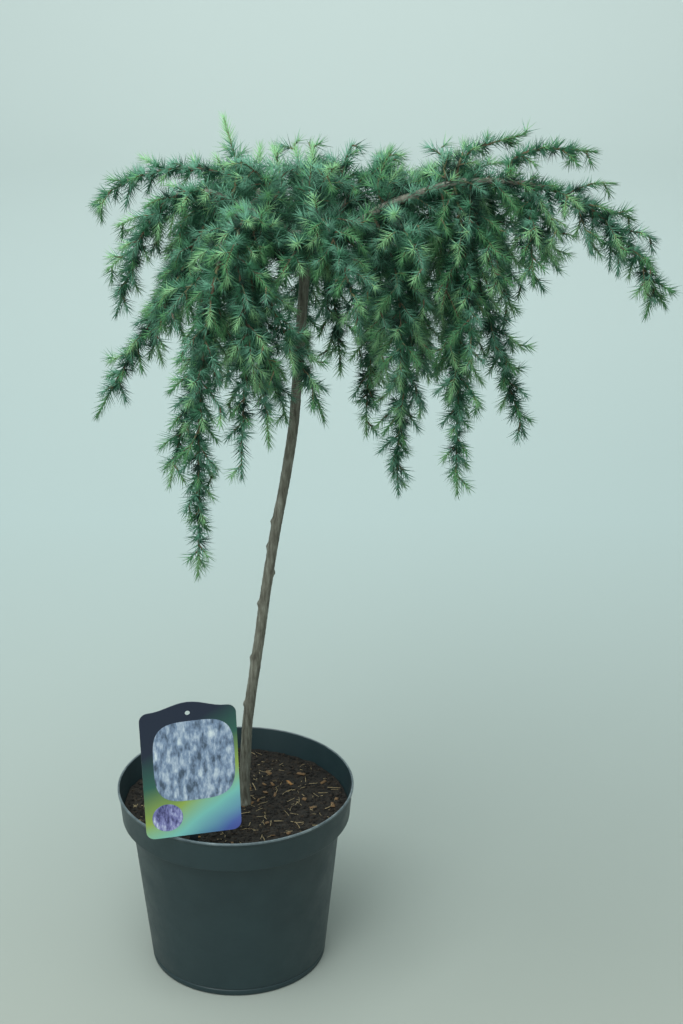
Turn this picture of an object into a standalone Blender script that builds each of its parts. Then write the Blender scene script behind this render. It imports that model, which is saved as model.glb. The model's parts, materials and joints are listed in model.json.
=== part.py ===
"""A weeping deodar cedar, grafted high on a slim stem and standing in a round nursery pot.

All sizes are in millimetres. The origin is the middle of the pot's underside, +Z is up, +X is the side
that the longest bough reaches towards, and -Y is the front. Each bough and each mass of foliage is one
object. A mass is a stem, the twigs that branch from it, and long needles that stand out of both.
"""

import math
import random
from collections import namedtuple

import bmesh
import bpy
import numpy as np
from mathutils import Matrix, noise

MM = 0.001
GAP = 0.3
UP = np.array((0.0, 0.0, 1.0))
GOLDEN_ANGLE = math.radians(137.5)

# Pot
POT_SIDES = 36
BASE_RADIUS = 93.5
BODY_TOP_RADIUS = 111.0
BAND_FOOT_RADIUS = 120.8
RIM_RADIUS = 125.0
BAND_HEIGHT = 35.0
RIM_HEIGHT = 205.0
LIP_HEIGHT = 3.0
EDGE = 1.5
FOOT_GROOVE_HEIGHT = 8.0
GROOVE_HALF = 1.0
GROOVE_DEPTH = 1.2
WALL = 2.2
FLOOR = 2.5
DRAIN_HOLES = 6
DRAIN_RADIUS = 6.0
DRAIN_CIRCLE = 70.0
DRAIN_SIDES = 10

# Soil
SOIL_HEIGHT = 180.0
SOIL_RELIEF = 2.5
RELIEF_SCALE = 16.0
RELIEF_FADE = 20.0
RELIEF_SEED = 3.7
SOIL_RINGS = 6
SEAT_RADIUS = 13.0

# Trunk: knots of its course, then (height, radius) from the root flare to the graft
TRUNK_COURSE = ((8, 0, 180), (9, 0, 200), (14, 0, 280), (26, 0, 365), (41, 0, 470), (62, 0, 590),
                (71, 0, 690), (77, 0, 770), (80, 0, 815))
TRUNK_GIRTH = ((180, 8.6), (188, 6.4), (205, 5.6), (600, 5.0), (750, 4.8), (775, 6.8), (800, 7.6), (815, 6.0))
TRUNK_SIDES = 8
TRUNK_STEP = 26.0
BUD_SCARS = ((300, 200), (352, 165), (415, 190), (478, 175), (506, 185), (448, 20))
SCAR_HEIGHT = 1.6
SCAR_WIDTH = 3.5
SCAR_ROOM = 7.0
SCAR_SPREAD = 0.5

# Plant label on a tongue that is pushed into the soil
LABEL_WIDTH = 97.0
LABEL_HEIGHT = 143.0
LABEL_ARCH = 8.0
LABEL_CORNER = 9.0
LABEL_THICKNESS = 0.9
LABEL_FOOT = (-37.0, -110.0, 208.0)
LABEL_TURN = math.radians(11.5)
LABEL_TILT = math.radians(1.5)
CORNER_STEPS = (0, 30, 60, 90)
ARCH_SHARES = (0.75, 0.5, 0.25, 0.0, -0.25, -0.5, -0.75)
EYELET_RADIUS = 2.5
EYELET_DROP = 4.0
EYELET_SIDES = 10
TONGUE_WIDTH = 9.0
TONGUE_LENGTH = 56.0
TONGUE_POINT = 12.0
TONGUE_OVERLAP = 6.0
TONGUE_THICKNESS = 1.3
TONGUE_SLANT = math.radians(22.0)

# Boughs. A limb leaves its parent's side that many millimetres before the parent's end, or goes straight
# on from the end where that is 0. arrive is the slope it ends with: upwards above 0, downwards below.
Bough = namedtuple("Bough", "name parent back tip leave arrive foot end")
BOUGHS = (
    Bough("bough_left", "trunk", 12, (32, -5, 847), 0.0, 0.7, 4.2, 3.4),
    Bough("bough_right", "trunk", 15, (166, -5, 838), 0.0, 0.3, 5.0, 4.0),
    Bough("bough_front_left", "trunk", 24, (28, -52, 840), 0.0, 0.3, 3.8, 3.1),
    Bough("bough_front_right", "trunk", 24, (90, -56, 834), 0.0, 0.3, 3.8, 3.1),
    Bough("bough_front", "trunk", 38, (30, -88, 842), 0.0, 0.3, 3.8, 3.0),
    Bough("bough_back", "trunk", 38, (84, 62, 838), 0.0, 0.5, 3.8, 3.1),
    Bough("bough_back_left", "trunk", 27, (38, 48, 838), 0.0, 0.5, 3.8, 3.1),
    Bough("bough_back_right", "trunk", 28, (128, 52, 838), 0.0, 0.4, 3.8, 3.1),
    Bough("bough_left_outer", "bough_left", 6, (-16, -24, 852), 0.0, 0.1, 2.9, 2.5),
    Bough("bough_front_left_low", "bough_front_left", 0, (0, -112, 806), 0.0, -1.6, 2.9, 2.6),
    Bough("bough_right_mid", "bough_right", 0, (238, -5, 857), 0.0, 0.0, 3.9, 3.3),
    Bough("bough_right_far", "bough_right_mid", 0, (308, 0, 848), 0.0, -0.3, 3.2, 2.6),
    Bough("bough_right_back", "bough_right", 8, (212, 48, 852), 0.3, 0.1, 3.2, 2.6),
)

# Masses of foliage: the furthest needle's tip, and how far the twigs may stand from the stem.
Mass = namedtuple("Mass", "name parent back tip leave arrive reach")
MASSES = (
    Mass("foliage_crown_top", "trunk", 0, (88, 14, 897), 0.0, 2.0, 44),
    Mass("foliage_crown_left", "bough_left", 16, (46, 34, 890), 2.0, 0.8, 50),
    Mass("foliage_crown_right", "bough_back_right", 16, (126, 22, 890), 2.5, 0.6, 46),
    Mass("foliage_crown_front", "bough_front_left", 18, (14, -78, 896), 2.5, 0.4, 50),
    Mass("foliage_crown_front_right", "bough_front_right", 16, (112, -82, 894), 2.5, 0.6, 48),
    Mass("foliage_crown_back", "bough_back", 15, (63, 98, 874), 2.5, 0.4, 50),
    Mass("foliage_top_shoot", "bough_left_outer", 26, (0, 0, 928), 3.0, 4.0, 32),
    Mass("foliage_left_arch", "bough_left", 0, (-132, 5, 823), 0.0, -1.2, 50),
    Mass("foliage_left_fall", "bough_left_outer", 0, (-109, -15, 717), 0.0, -2.5, 48),
    Mass("foliage_left_low", "bough_left_outer", 5, (-131, -34, 620), -1.0, -2.0, 48),
    Mass("foliage_left_clump", "bough_left_outer", 12, (-66, -76, 709), -0.5, -4.0, 50),
    Mass("foliage_front_left", "bough_front_left", 6, (-49, -122, 749), 0.2, -3.0, 48),
    Mass("foliage_low_left", "bough_front_left_low", 5, (-51, -137, 588), -0.3, -5.0, 46),
    Mass("foliage_lowest", "bough_front_left_low", 0, (-24, -155, 503), 0.0, -8.0, 42),
    Mass("foliage_low_middle", "bough_front_left_low", 11, (20, -150, 601), -0.3, -6.0, 44),
    Mass("foliage_front", "bough_front", 0, (34, -150, 688), 0.0, -5.0, 46),
    Mass("foliage_front_low", "bough_front", 6, (45, -124, 623), -0.5, -6.0, 44),
    Mass("foliage_over_trunk", "bough_front", 12, (98, -95, 637), -1.0, -5.0, 44),
    Mass("foliage_by_trunk", "bough_front", 18, (61, -50, 620), -1.0, -5.0, 42),
    Mass("foliage_front_short", "bough_front_right", 8, (51, -112, 774), 0.0, -4.0, 42),
    Mass("foliage_front_bright", "bough_front_right", 0, (131, -150, 742), 0.0, -2.5, 48),
    Mass("foliage_right_front", "bough_right", 6, (188, -110, 788), 0.0, -3.0, 48),
    Mass("foliage_right_inner", "bough_right", 22, (170, -10, 528), -2.0, -7.0, 50),
    Mass("foliage_right_tuft", "bough_right", 14, (163, 4, 896), 3.0, 2.5, 48),
    Mass("foliage_right_middle", "bough_right", 30, (168, -85, 665), -0.5, -6.0, 48),
    Mass("foliage_right_crest", "bough_right_mid", 26, (206, 15, 892), 3.0, 2.5, 46),
    Mass("foliage_right_low", "bough_right_mid", 34, (226, -45, 542), -2.0, -7.0, 50),
    Mass("foliage_right_outer", "bough_right_mid", 12, (299, 20, 580), -2.0, -3.0, 48),
    Mass("foliage_right_clump", "bough_right_mid", 20, (236, -72, 681), -0.5, -5.0, 48),
    Mass("foliage_right_pale", "bough_right_mid", 5, (263, -55, 751), -0.5, -4.0, 44),
    Mass("foliage_upper_shoot", "bough_right_mid", 16, (296, 12, 902), 0.9, 0.4, 42),
    Mass("foliage_upper_far", "bough_right_far", 42, (364, 15, 879), 0.9, -0.1, 42),
    Mass("foliage_right_tip", "bough_right_far", 0, (431, 0, 721), 0.0, -1.8, 52),
    Mass("foliage_hanging_near", "bough_right_far", 13, (294, -42, 754), -1.0, -4.0, 42),
    Mass("foliage_hanging_far", "bough_right_far", 20, (326, 22, 752), -1.5, -2.5, 44),
    Mass("foliage_back_left", "bough_back_left", 0, (-85, 108, 658), 0.0, -3.0, 54),
    Mass("foliage_back_left_low", "bough_back_left", 6, (-10, 128, 594), -0.2, -4.0, 52),
    Mass("foliage_back", "bough_back", 0, (68, 180, 590), 0.0, -4.0, 56),
    Mass("foliage_back_low", "bough_back", 6, (112, 138, 612), -0.2, -5.0, 52),
    Mass("foliage_back_right", "bough_back_right", 0, (206, 160, 588), 0.0, -3.5, 56),
    Mass("foliage_back_inner", "bough_back_right", 6, (138, 90, 554), -1.0, -6.0, 50),
    Mass("foliage_far_back", "bough_right_back", 0, (285, 118, 672), 0.0, -3.0, 54),
    Mass("foliage_far_back_low", "bough_right_back", 6, (234, 92, 578), -1.0, -5.0, 50),
)
CURVE_PULL = 0.36
CURVE_POINTS = 60
BOUGH_STEP = 14.0
FOOT_STRETCH = 2.0

# Needles and twigs
NEEDLE_LENGTH = 29.0
LENGTH_SPREAD = (0.86, 1.05)
NEEDLE_LEAN = math.radians(46)
LEAN_SPREAD = 0.08
NEEDLE_CLOSING = math.radians(26)
CLOSING_STRETCHES = 3
WHORL_STEP = 11.5
WHORL_TURN = math.radians(37)
STEM_RADII = (1.7, 1.0)
TWIG_RADII = (1.3, 0.8)
BARE_FOOT = 6.0
TIP_NEEDLE = 21.0
TWIG_SPACING = 34.0
TWIG_ANGLE = math.radians(52)
TWIG_DROOP = 0.22
TWIG_SHARE = 0.85
TWIG_POINTS = 12
TWIG_LENGTHS = (1.25, 0.5)
CLEAR_POINTS = 3
COURSE_STEP = 2.0
MOST_TWIGS = 5
SHORTER_TRIES = (1.0, 0.8, 0.62, 0.5)
SHORTEST_TWIG = 30.0
SHORT_NEEDLE = 0.7

# A mass keeps its own space: nearer to its stem than to any other by this, and this clear of the limbs
SPACE_MARGIN = 1.6
LIMB_CLEARANCE = 3.0
SAMPLE_STEP = 4.0

SHADES = ((0.055, 0.17, 0.10), (0.075, 0.22, 0.12), (0.10, 0.28, 0.13))


def unit(vector):
    return vector / np.linalg.norm(vector)


def material(name, colour, roughness):
    """A plain material with the part's colour."""
    made = bpy.data.materials.new(name)
    made.use_nodes = True
    shader = made.node_tree.nodes["Principled BSDF"]
    shader.inputs["Base Color"].default_value = (*colour, 1.0)
    shader.inputs["Roughness"].default_value = roughness
    shader.inputs["Metallic"].default_value = 0.0
    made.diffuse_color = (*colour, 1.0)
    return made


def mesh_object(name, points, faces, finish, collection=None):
    """An object from points in millimetres and their faces."""
    mesh = bpy.data.meshes.new(name)
    mesh.from_pydata([tuple(float(part) * MM for part in point) for point in points], [], faces)
    mesh.materials.append(finish)
    made = bpy.data.objects.new(name, mesh)
    (collection or bpy.context.scene.collection).objects.link(made)
    return made


def applied(thing):
    """Applies an object's modifiers."""
    graph = bpy.context.evaluated_depsgraph_get()
    mesh = bpy.data.meshes.new_from_object(thing.evaluated_get(graph))
    thing.modifiers.clear()
    thing.data = mesh
    return thing


def cut(thing, cutter):
    """Takes the cutter's shape out of a thing, and removes the cutter."""
    modifier = thing.modifiers.new("cut", "BOOLEAN")
    modifier.operation = "DIFFERENCE"
    modifier.object = cutter
    applied(thing)
    bpy.data.objects.remove(cutter)


def turned(name, profile, finish):
    """A profile of (radius, height) points that starts and ends on the axis, spun round it."""
    shape = bmesh.new()
    corners = [shape.verts.new((radius * MM, 0.0, height * MM)) for radius, height in profile]
    edges = [shape.edges.new(pair) for pair in zip(corners, corners[1:])]
    bmesh.ops.spin(shape, geom=corners + edges, axis=(0, 0, 1), cent=(0, 0, 0), steps=POT_SIDES,
                   angle=2 * math.pi, use_duplicate=False)
    bmesh.ops.remove_doubles(shape, verts=shape.verts, dist=0.01 * MM)
    bmesh.ops.recalc_face_normals(shape, faces=shape.faces)
    mesh = bpy.data.meshes.new(name)
    shape.to_mesh(mesh)
    shape.free()
    mesh.materials.append(finish)
    made = bpy.data.objects.new(name, mesh)
    bpy.context.scene.collection.objects.link(made)
    return made


def inner_wall(height):
    """The radius of the pot's inside at a height, above the floor and below or above its step."""
    step_height = RIM_HEIGHT - BAND_HEIGHT
    if height < step_height + WALL:
        low, high, bottom, top = FLOOR, step_height + WALL / 3, BASE_RADIUS, BODY_TOP_RADIUS
    else:
        low, high, bottom, top = step_height + WALL, RIM_HEIGHT, BAND_FOOT_RADIUS, RIM_RADIUS
    return bottom + (top - bottom) * (height - low) / (high - low) - WALL


def outer_wall(height):
    """The radius of the pot's tapered body at a height."""
    return BASE_RADIUS + (BODY_TOP_RADIUS - BASE_RADIUS) * height / (RIM_HEIGHT - BAND_HEIGHT)


def drill(name, radius, depth, sides, place):
    """A round cutter."""
    shape = bmesh.new()
    bmesh.ops.create_cone(shape, cap_ends=True, segments=sides, radius1=radius * MM, radius2=radius * MM,
                          depth=depth * MM, matrix=place)
    mesh = bpy.data.meshes.new(name)
    shape.to_mesh(mesh)
    shape.free()
    cutter = bpy.data.objects.new(name, mesh)
    bpy.context.scene.collection.objects.link(cutter)
    return cutter


def build_pot(finish):
    """Tapered body, a wider rim band with a small lip, a groove above the foot, and drain holes."""
    step_height = RIM_HEIGHT - BAND_HEIGHT
    low, middle, high = (FOOT_GROOVE_HEIGHT + part for part in (-GROOVE_HALF, 0.0, GROOVE_HALF))
    pot = turned("pot", (
        (0, 0), (BASE_RADIUS - EDGE, 0), (outer_wall(EDGE), EDGE), (outer_wall(low), low),
        (outer_wall(middle) - GROOVE_DEPTH, middle), (outer_wall(high), high),
        (BODY_TOP_RADIUS, step_height - EDGE), (BAND_FOOT_RADIUS, step_height),
        (RIM_RADIUS - EDGE, RIM_HEIGHT - LIP_HEIGHT - EDGE), (RIM_RADIUS, RIM_HEIGHT - LIP_HEIGHT),
        (RIM_RADIUS, RIM_HEIGHT), (inner_wall(RIM_HEIGHT), RIM_HEIGHT),
        (inner_wall(step_height + WALL), step_height + WALL),
        (inner_wall(step_height + WALL / 3), step_height + WALL / 3), (inner_wall(FLOOR), FLOOR), (0, FLOOR),
    ), finish)
    for hole in range(DRAIN_HOLES):
        turn = 2 * math.pi * (hole + 0.5) / DRAIN_HOLES
        x, y = DRAIN_CIRCLE * MM * math.cos(turn), DRAIN_CIRCLE * MM * math.sin(turn)
        cut(pot, drill("drain", DRAIN_RADIUS, 4 * FLOOR, DRAIN_SIDES, Matrix.Translation((x, y, 0))))
    return pot


def build_soil(finish):
    """Compost that fills the pot to below its rim, uneven on top, with a flat seat under the trunk."""
    step_height = RIM_HEIGHT - BAND_HEIGHT
    levels = (FLOOR + GAP, step_height + WALL / 3, step_height + WALL + GAP, SOIL_HEIGHT)
    seat_x, seat_y, _foot = TRUNK_COURSE[0]
    rings = [(0.0, 0.0, inner_wall(level) - GAP, level) for level in levels]
    edge = rings[-1][2]
    for ring in range(1, SOIL_RINGS + 1):
        share = ring / SOIL_RINGS
        rings.append((seat_x * share, seat_y * share, edge + (SEAT_RADIUS - edge) * share, None))
    points = []
    for x, y, radius, level in rings:
        for side in range(POT_SIDES):
            turn = 2 * math.pi * side / POT_SIDES
            px, py = x + radius * math.cos(turn), y + radius * math.sin(turn)
            height = level
            if level is None:
                fade = min(1.0, (radius - SEAT_RADIUS) / RELIEF_FADE)
                bump = noise.noise((px / RELIEF_SCALE, py / RELIEF_SCALE, RELIEF_SEED))
                height = SOIL_HEIGHT + fade * SOIL_RELIEF * bump
            points.append((px, py, height))
    return mesh_object("soil", points, tube_faces(len(rings), POT_SIDES), finish)


def tube_faces(rings, sides):
    """Faces between rings of points, with a cap on the first and the last ring."""
    faces = [tuple(reversed(range(sides)))]
    for ring in range(rings - 1):
        for side in range(sides):
            a, b = ring * sides + side, ring * sides + (side + 1) % sides
            faces.append((a, b, b + sides, a + sides))
    faces.append(tuple(range((rings - 1) * sides, rings * sides)))
    return faces


def even(points, step):
    """The same line with its points set evenly, about step apart."""
    run = np.concatenate(([0.0], np.cumsum(np.linalg.norm(np.diff(points, axis=0), axis=1))))
    marks = np.linspace(0.0, run[-1], max(2, int(round(run[-1] / step)) + 1))
    return np.stack([np.interp(marks, run, points[:, axis]) for axis in range(3)], axis=1)


def smooth_line(knots, step):
    """A smooth curve through the knots, with points about step apart."""
    knots = np.asarray(knots, float)
    padded = np.vstack((2 * knots[0] - knots[1], knots, 2 * knots[-1] - knots[-2]))
    t = np.linspace(0, 1, 12, endpoint=False)[:, None]
    stretches = []
    for a, b, c, d in zip(padded, padded[1:], padded[2:], padded[3:]):
        stretches.append(0.5 * (2 * b + (c - a) * t + (2 * a - 5 * b + 4 * c - d) * t ** 2
                                + (3 * b - a - 3 * c + d) * t ** 3))
    return even(np.vstack(stretches + [knots[-1:]]), step)


def frames(points):
    """The direction at each point of a line, and two square sides carried along without twisting."""
    ahead = np.gradient(points, axis=0)
    ahead /= np.linalg.norm(ahead, axis=1, keepdims=True)
    side = np.cross(UP, ahead[0])
    if np.linalg.norm(side) < 0.05:
        side = np.array((1.0, 0.0, 0.0))
    sides = []
    for direction in ahead:
        side = unit(side - direction * np.dot(side, direction))
        sides.append(side)
    sides = np.array(sides)
    return ahead, sides, np.cross(ahead, sides)


def trunk_line():
    """The trunk's centre line and its radius at each point."""
    line = smooth_line(TRUNK_COURSE, SAMPLE_STEP)
    heights, radii = zip(*TRUNK_GIRTH)
    return line, np.interp(line[:, 2], heights, radii)


def build_trunk(finish):
    """Level rings up the trunk's course, with a swelling at each bud scar."""
    line, girth = trunk_line()
    knots = [height for height, _radius in TRUNK_GIRTH]
    foot, top = knots[0] + GAP, knots[-1]
    heights = {foot, top, *knots[1:3], *knots[4:-1], *np.arange(knots[2], knots[4], TRUNK_STEP)}
    for scar_height, _turn in BUD_SCARS:
        heights = {height for height in heights
                   if abs(height - scar_height) > SCAR_ROOM or height in (foot, top)}
        heights.update((scar_height - SCAR_WIDTH, scar_height, scar_height + SCAR_WIDTH))
    points = []
    for height in sorted(heights):
        x, y = (np.interp(height, line[:, 2], line[:, axis]) for axis in (0, 1))
        for side in range(TRUNK_SIDES):
            turn = 2 * math.pi * side / TRUNK_SIDES
            radius = np.interp(height, line[:, 2], girth)
            for scar_height, scar_turn in BUD_SCARS:
                away = (turn - math.radians(scar_turn) + math.pi) % (2 * math.pi) - math.pi
                if abs(height - scar_height) < 1 and abs(away) < SCAR_SPREAD:
                    radius += SCAR_HEIGHT * math.cos(away)
            points.append((x + radius * math.cos(turn), y + radius * math.sin(turn), height))
    return mesh_object("trunk", points, tube_faces(len(heights), TRUNK_SIDES), finish)


def leaving_point(parent, back, tip, leave):
    """Where a limb leaves its parent, just clear of it, and the direction in which it leaves."""
    line, radii = parent
    run = np.concatenate(([0.0], np.cumsum(np.linalg.norm(np.diff(line, axis=0), axis=1))))
    if back == 0:
        ahead = unit(line[-1] - line[-2])
        return line[-1] + ahead * GAP, ahead
    at = run[-1] - back
    foot = np.array([np.interp(at, run, line[:, axis]) for axis in range(3)])
    before = np.array([np.interp(at - 2, run, line[:, axis]) for axis in range(3)])
    ahead = unit(foot - before)
    aim = unit(np.asarray(tip, float) - foot) + UP * leave
    out = unit(aim - ahead * np.dot(aim, ahead))
    return foot + out * (np.interp(at, run, radii) + GAP), out


def limb_line(parent, row, step):
    """The course of a bough or a mass's stem, from just clear of its parent to its tip."""
    start, out = leaving_point(parent, row.back, row.tip, row.leave)
    tip = np.asarray(row.tip, float)
    flat = (tip - start) * (1, 1, 0)
    arrive = unit(unit(flat) + UP * row.arrive)
    begin = start + out * FOOT_STRETCH
    pull = CURVE_PULL * np.linalg.norm(tip - begin)
    a, b, c, d = begin, begin + out * pull, tip - arrive * pull, tip
    t = np.linspace(0, 1, CURVE_POINTS)[:, None]
    curve = (1 - t) ** 3 * a + 3 * (1 - t) ** 2 * t * b + 3 * (1 - t) * t ** 2 * c + t ** 3 * d
    return np.vstack((start, even(curve, step)))


def build_bough(row, line, finish):
    """One tapering limb: a curve with a round section and closed ends."""
    radii = np.linspace(row.foot, row.end, len(line))
    curve = bpy.data.curves.new(row.name, "CURVE")
    curve.dimensions = "3D"
    curve.bevel_depth = MM
    curve.bevel_resolution = 1
    curve.use_fill_caps = True
    run = curve.splines.new("POLY")
    run.points.add(len(line) - 1)
    for place, (x, y, z), radius in zip(run.points, line, radii):
        place.co = (x * MM, y * MM, z * MM, 1.0)
        place.radius = radius
    curve.materials.append(finish)
    made = bpy.data.objects.new(row.name, curve)
    bpy.context.scene.collection.objects.link(made)
    return made


class Space:
    """Which mass each place in the crown belongs to, and how clear it is of the limbs."""

    def __init__(self, stems, limbs):
        self.points = np.vstack([even(line, SAMPLE_STEP) for line in stems])
        self.owners = np.concatenate([np.full(len(even(line, SAMPLE_STEP)), number)
                                      for number, line in enumerate(stems)])
        self.limbs = np.vstack([line for line, radii in limbs])
        self.girths = np.concatenate([radii for line, radii in limbs])

    def holds(self, place, owner, reach):
        far = np.linalg.norm(self.points - place, axis=1)
        own = far[self.owners == owner].min()
        other = far[self.owners != owner].min()
        clear = (np.linalg.norm(self.limbs - place, axis=1) - self.girths).min()
        return own <= reach and own + SPACE_MARGIN < other and clear > LIMB_CLEARANCE


def spray(line, radii, holds, rng):
    """A slim three-sided core along a line, with two needles on each stretch of it."""
    ahead, sides, tops = frames(line)
    last = len(line) - 1
    points = []
    for place in range(last + 1):
        radius = radii[0] + (radii[1] - radii[0]) * place / last
        for corner in range(3):
            turn = place * WHORL_TURN + corner * 2 * math.pi / 3
            out = sides[place] * math.cos(turn) + tops[place] * math.sin(turn)
            points.append(line[place] + out * radius)
    faces = [(2, 1, 0)]
    walked = 0.0
    for place in range(last):
        stretch = np.linalg.norm(line[place + 1] - line[place])
        lean_here = NEEDLE_LEAN - NEEDLE_CLOSING * max(0.0, 1 - (last - place) / CLOSING_STRETCHES)
        for corner in range(3):
            a, b = place * 3 + corner, place * 3 + (corner + 1) % 3
            c, d = b + 3, a + 3
            middle = (points[a] + points[b] + points[c] + points[d]) / 4
            out = unit(middle - (line[place] + line[place + 1]) / 2)
            lean = lean_here + rng.uniform(-LEAN_SPREAD, LEAN_SPREAD)
            length = NEEDLE_LENGTH * rng.uniform(*LENGTH_SPREAD)
            needle = (out * math.sin(lean) + ahead[place] * math.cos(lean)) * length
            if not holds(middle + needle):
                needle = needle * SHORT_NEEDLE
            wanted = corner != place % 3 and walked >= BARE_FOOT
            if wanted and holds(middle + needle) and holds(middle + needle / 2):
                points.append(middle + needle)
                peak = len(points) - 1
                faces += [(a, b, peak), (b, c, peak), (c, d, peak), (d, a, peak)]
            else:
                faces += [(a, b, c), (a, c, d)]
        walked += stretch
    points.append(line[last] + ahead[last] * TIP_NEEDLE)
    first = last * 3
    faces += [(first, first + 1, len(points) - 1), (first + 1, first + 2, len(points) - 1),
              (first + 2, first, len(points) - 1)]
    return points, faces


def shortened(line, less):
    """A line without its last few millimetres, which the needle at its tip takes up."""
    run = np.concatenate(([0.0], np.cumsum(np.linalg.norm(np.diff(line, axis=0), axis=1))))
    keep = run < run[-1] - less - 0.5
    end = np.array([np.interp(run[-1] - less, run, line[:, axis]) for axis in range(3)])
    return np.vstack((line[keep], end))


def twig_line(foot, leave, length):
    """A twig that leaves its stem straight and droops towards its tip."""
    t = np.linspace(0, 1, TWIG_POINTS)[:, None]
    return foot + leave * length * t - UP * TWIG_DROOP * length * t ** 2


def grow(number, row, line, space, finish):
    """A mass: its stem, the twigs that branch from it by a seeded rule, and all their needles, in one."""
    rng = random.Random(number)

    def holds(place):
        return space.holds(place, number, row.reach)

    core = shortened(line, TIP_NEEDLE)
    stem = np.vstack((core[:1], even(core[1:], WHORL_STEP)))
    pieces = [spray(stem, STEM_RADII, holds, rng)]
    course = even(core, COURSE_STEP)
    ahead, sides, tops = frames(course)
    count = min(MOST_TWIGS, max(2, int(len(course) * COURSE_STEP / TWIG_SPACING)))
    first_turn = rng.uniform(0, 2 * math.pi)
    for twig in range(count):
        share = (twig + 0.6) / count * TWIG_SHARE
        place = int(share * (len(course) - 1))
        turn = first_turn + twig * GOLDEN_ANGLE
        out = sides[place] * math.cos(turn) + tops[place] * math.sin(turn)
        leave = ahead[place] * math.cos(TWIG_ANGLE) + out * math.sin(TWIG_ANGLE)
        length = row.reach * (TWIG_LENGTHS[0] - TWIG_LENGTHS[1] * share) * rng.uniform(*LENGTH_SPREAD)
        for shorter in SHORTER_TRIES:
            shoot = twig_line(course[place], leave, max(SHORTEST_TWIG, length * shorter))
            if all(holds(point) for point in shoot[CLEAR_POINTS:]):
                pieces.append(spray(even(shortened(shoot, TIP_NEEDLE), WHORL_STEP), TWIG_RADII, holds, rng))
                break
    return fuse(row.name, pieces, finish)


def fuse(name, pieces, finish):
    """One union of a mass's stem and twigs. A scrap or a sealed hollow that it leaves is dropped."""
    twigs = bpy.data.collections.new(name + "_twigs")
    bpy.context.scene.collection.children.link(twigs)
    for points, faces in pieces[1:]:
        mesh_object(name + "_twig", points, faces, finish, twigs)
    mass = mesh_object(name, *pieces[0], finish)
    modifier = mass.modifiers.new("union", "BOOLEAN")
    modifier.operation = "UNION"
    modifier.operand_type = "COLLECTION"
    modifier.collection = twigs
    applied(mass)
    for twig in list(twigs.objects):
        bpy.data.objects.remove(twig)
    bpy.data.collections.remove(twigs)
    keep_largest(mass.data)
    return mass


def keep_largest(mesh):
    """Drops every body of a mesh but the one with the most faces."""
    shape = bmesh.new()
    shape.from_mesh(mesh)
    bodies = []
    waiting = set(shape.faces)
    while waiting:
        body, edge = set(), [waiting.pop()]
        while edge:
            face = edge.pop()
            body.add(face)
            for neighbour in {near for side in face.edges for near in side.link_faces}:
                if neighbour in waiting:
                    waiting.remove(neighbour)
                    edge.append(neighbour)
        bodies.append(body)
    bodies.sort(key=len)
    scraps = [face for body in bodies[:-1] for face in body]
    bmesh.ops.delete(shape, geom=scraps, context="FACES")
    shape.to_mesh(mesh)
    shape.free()


def label_outline():
    """The card's outline from its lower left corner: rounded corners, and a top that rises to an arch."""
    half, corner = LABEL_WIDTH / 2, LABEL_CORNER
    outline = []
    for x, z, first in ((half - corner, corner, -90), (half - corner, LABEL_HEIGHT - corner, 0)):
        for turn in CORNER_STEPS:
            angle = math.radians(first + turn)
            outline.append((x + corner * math.cos(angle), z + corner * math.sin(angle)))
    rise = [(half - corner) * share for share in ARCH_SHARES]
    arch = [(x, LABEL_HEIGHT + LABEL_ARCH * math.cos(x / (half - corner) * math.pi / 2) ** 2) for x in rise]
    return outline + arch + [(-x, z) for x, z in reversed(outline)]


def slab(outline, thickness):
    """Points and faces of an outline in the XZ plane, thickened evenly about it."""
    count = len(outline)
    points = [(x, -thickness / 2, z) for x, z in outline] + [(x, thickness / 2, z) for x, z in outline]
    faces = [tuple(range(count)), tuple(reversed(range(count, 2 * count)))]
    faces += [(side, side + count, (side + 1) % count + count, (side + 1) % count) for side in range(count)]
    return points, faces


def tongue_shape(extra):
    """The label's tongue, slanting back from the card's foot, made larger all round by extra."""
    half = TONGUE_WIDTH / 2 + extra
    outline = ((-half, TONGUE_OVERLAP), (-half, TONGUE_POINT - TONGUE_LENGTH), (0, -TONGUE_LENGTH - extra),
               (half, TONGUE_POINT - TONGUE_LENGTH), (half, TONGUE_OVERLAP))
    points, faces = slab(outline, TONGUE_THICKNESS + 2 * extra)
    bent = []
    for x, y, z in points:
        if z < 0:
            y, z = y * math.cos(TONGUE_SLANT) - z * math.sin(TONGUE_SLANT), z * math.cos(TONGUE_SLANT)
        bent.append((x, y, z))
    return bent, faces


def stand_label(thing):
    """Turns a label's shape to its place at the front left of the pot."""
    place = (Matrix.Translation([part * MM for part in LABEL_FOOT]) @ Matrix.Rotation(LABEL_TURN, 4, "Z")
             @ Matrix.Rotation(-LABEL_TILT, 4, "Y"))
    thing.data.transform(place)
    return thing


def build_label(soil, finish):
    """A plain card with an eyelet on a tongue, and the slot that the tongue makes in the soil."""
    card = mesh_object("plant_label", *slab(label_outline(), LABEL_THICKNESS), finish)
    tongue = mesh_object("tongue", *tongue_shape(0.0), finish)
    modifier = card.modifiers.new("join", "BOOLEAN")
    modifier.operation = "UNION"
    modifier.object = tongue
    applied(card)
    bpy.data.objects.remove(tongue)
    place = (Matrix.Translation((0, 0, (LABEL_HEIGHT - EYELET_DROP) * MM))
             @ Matrix.Rotation(math.pi / 2, 4, "X"))
    cut(card, drill("punch", EYELET_RADIUS, 10 * TONGUE_THICKNESS, EYELET_SIDES, place))
    stand_label(card)
    cut(soil, stand_label(mesh_object("slot", *tongue_shape(GAP), finish)))
    return card


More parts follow.
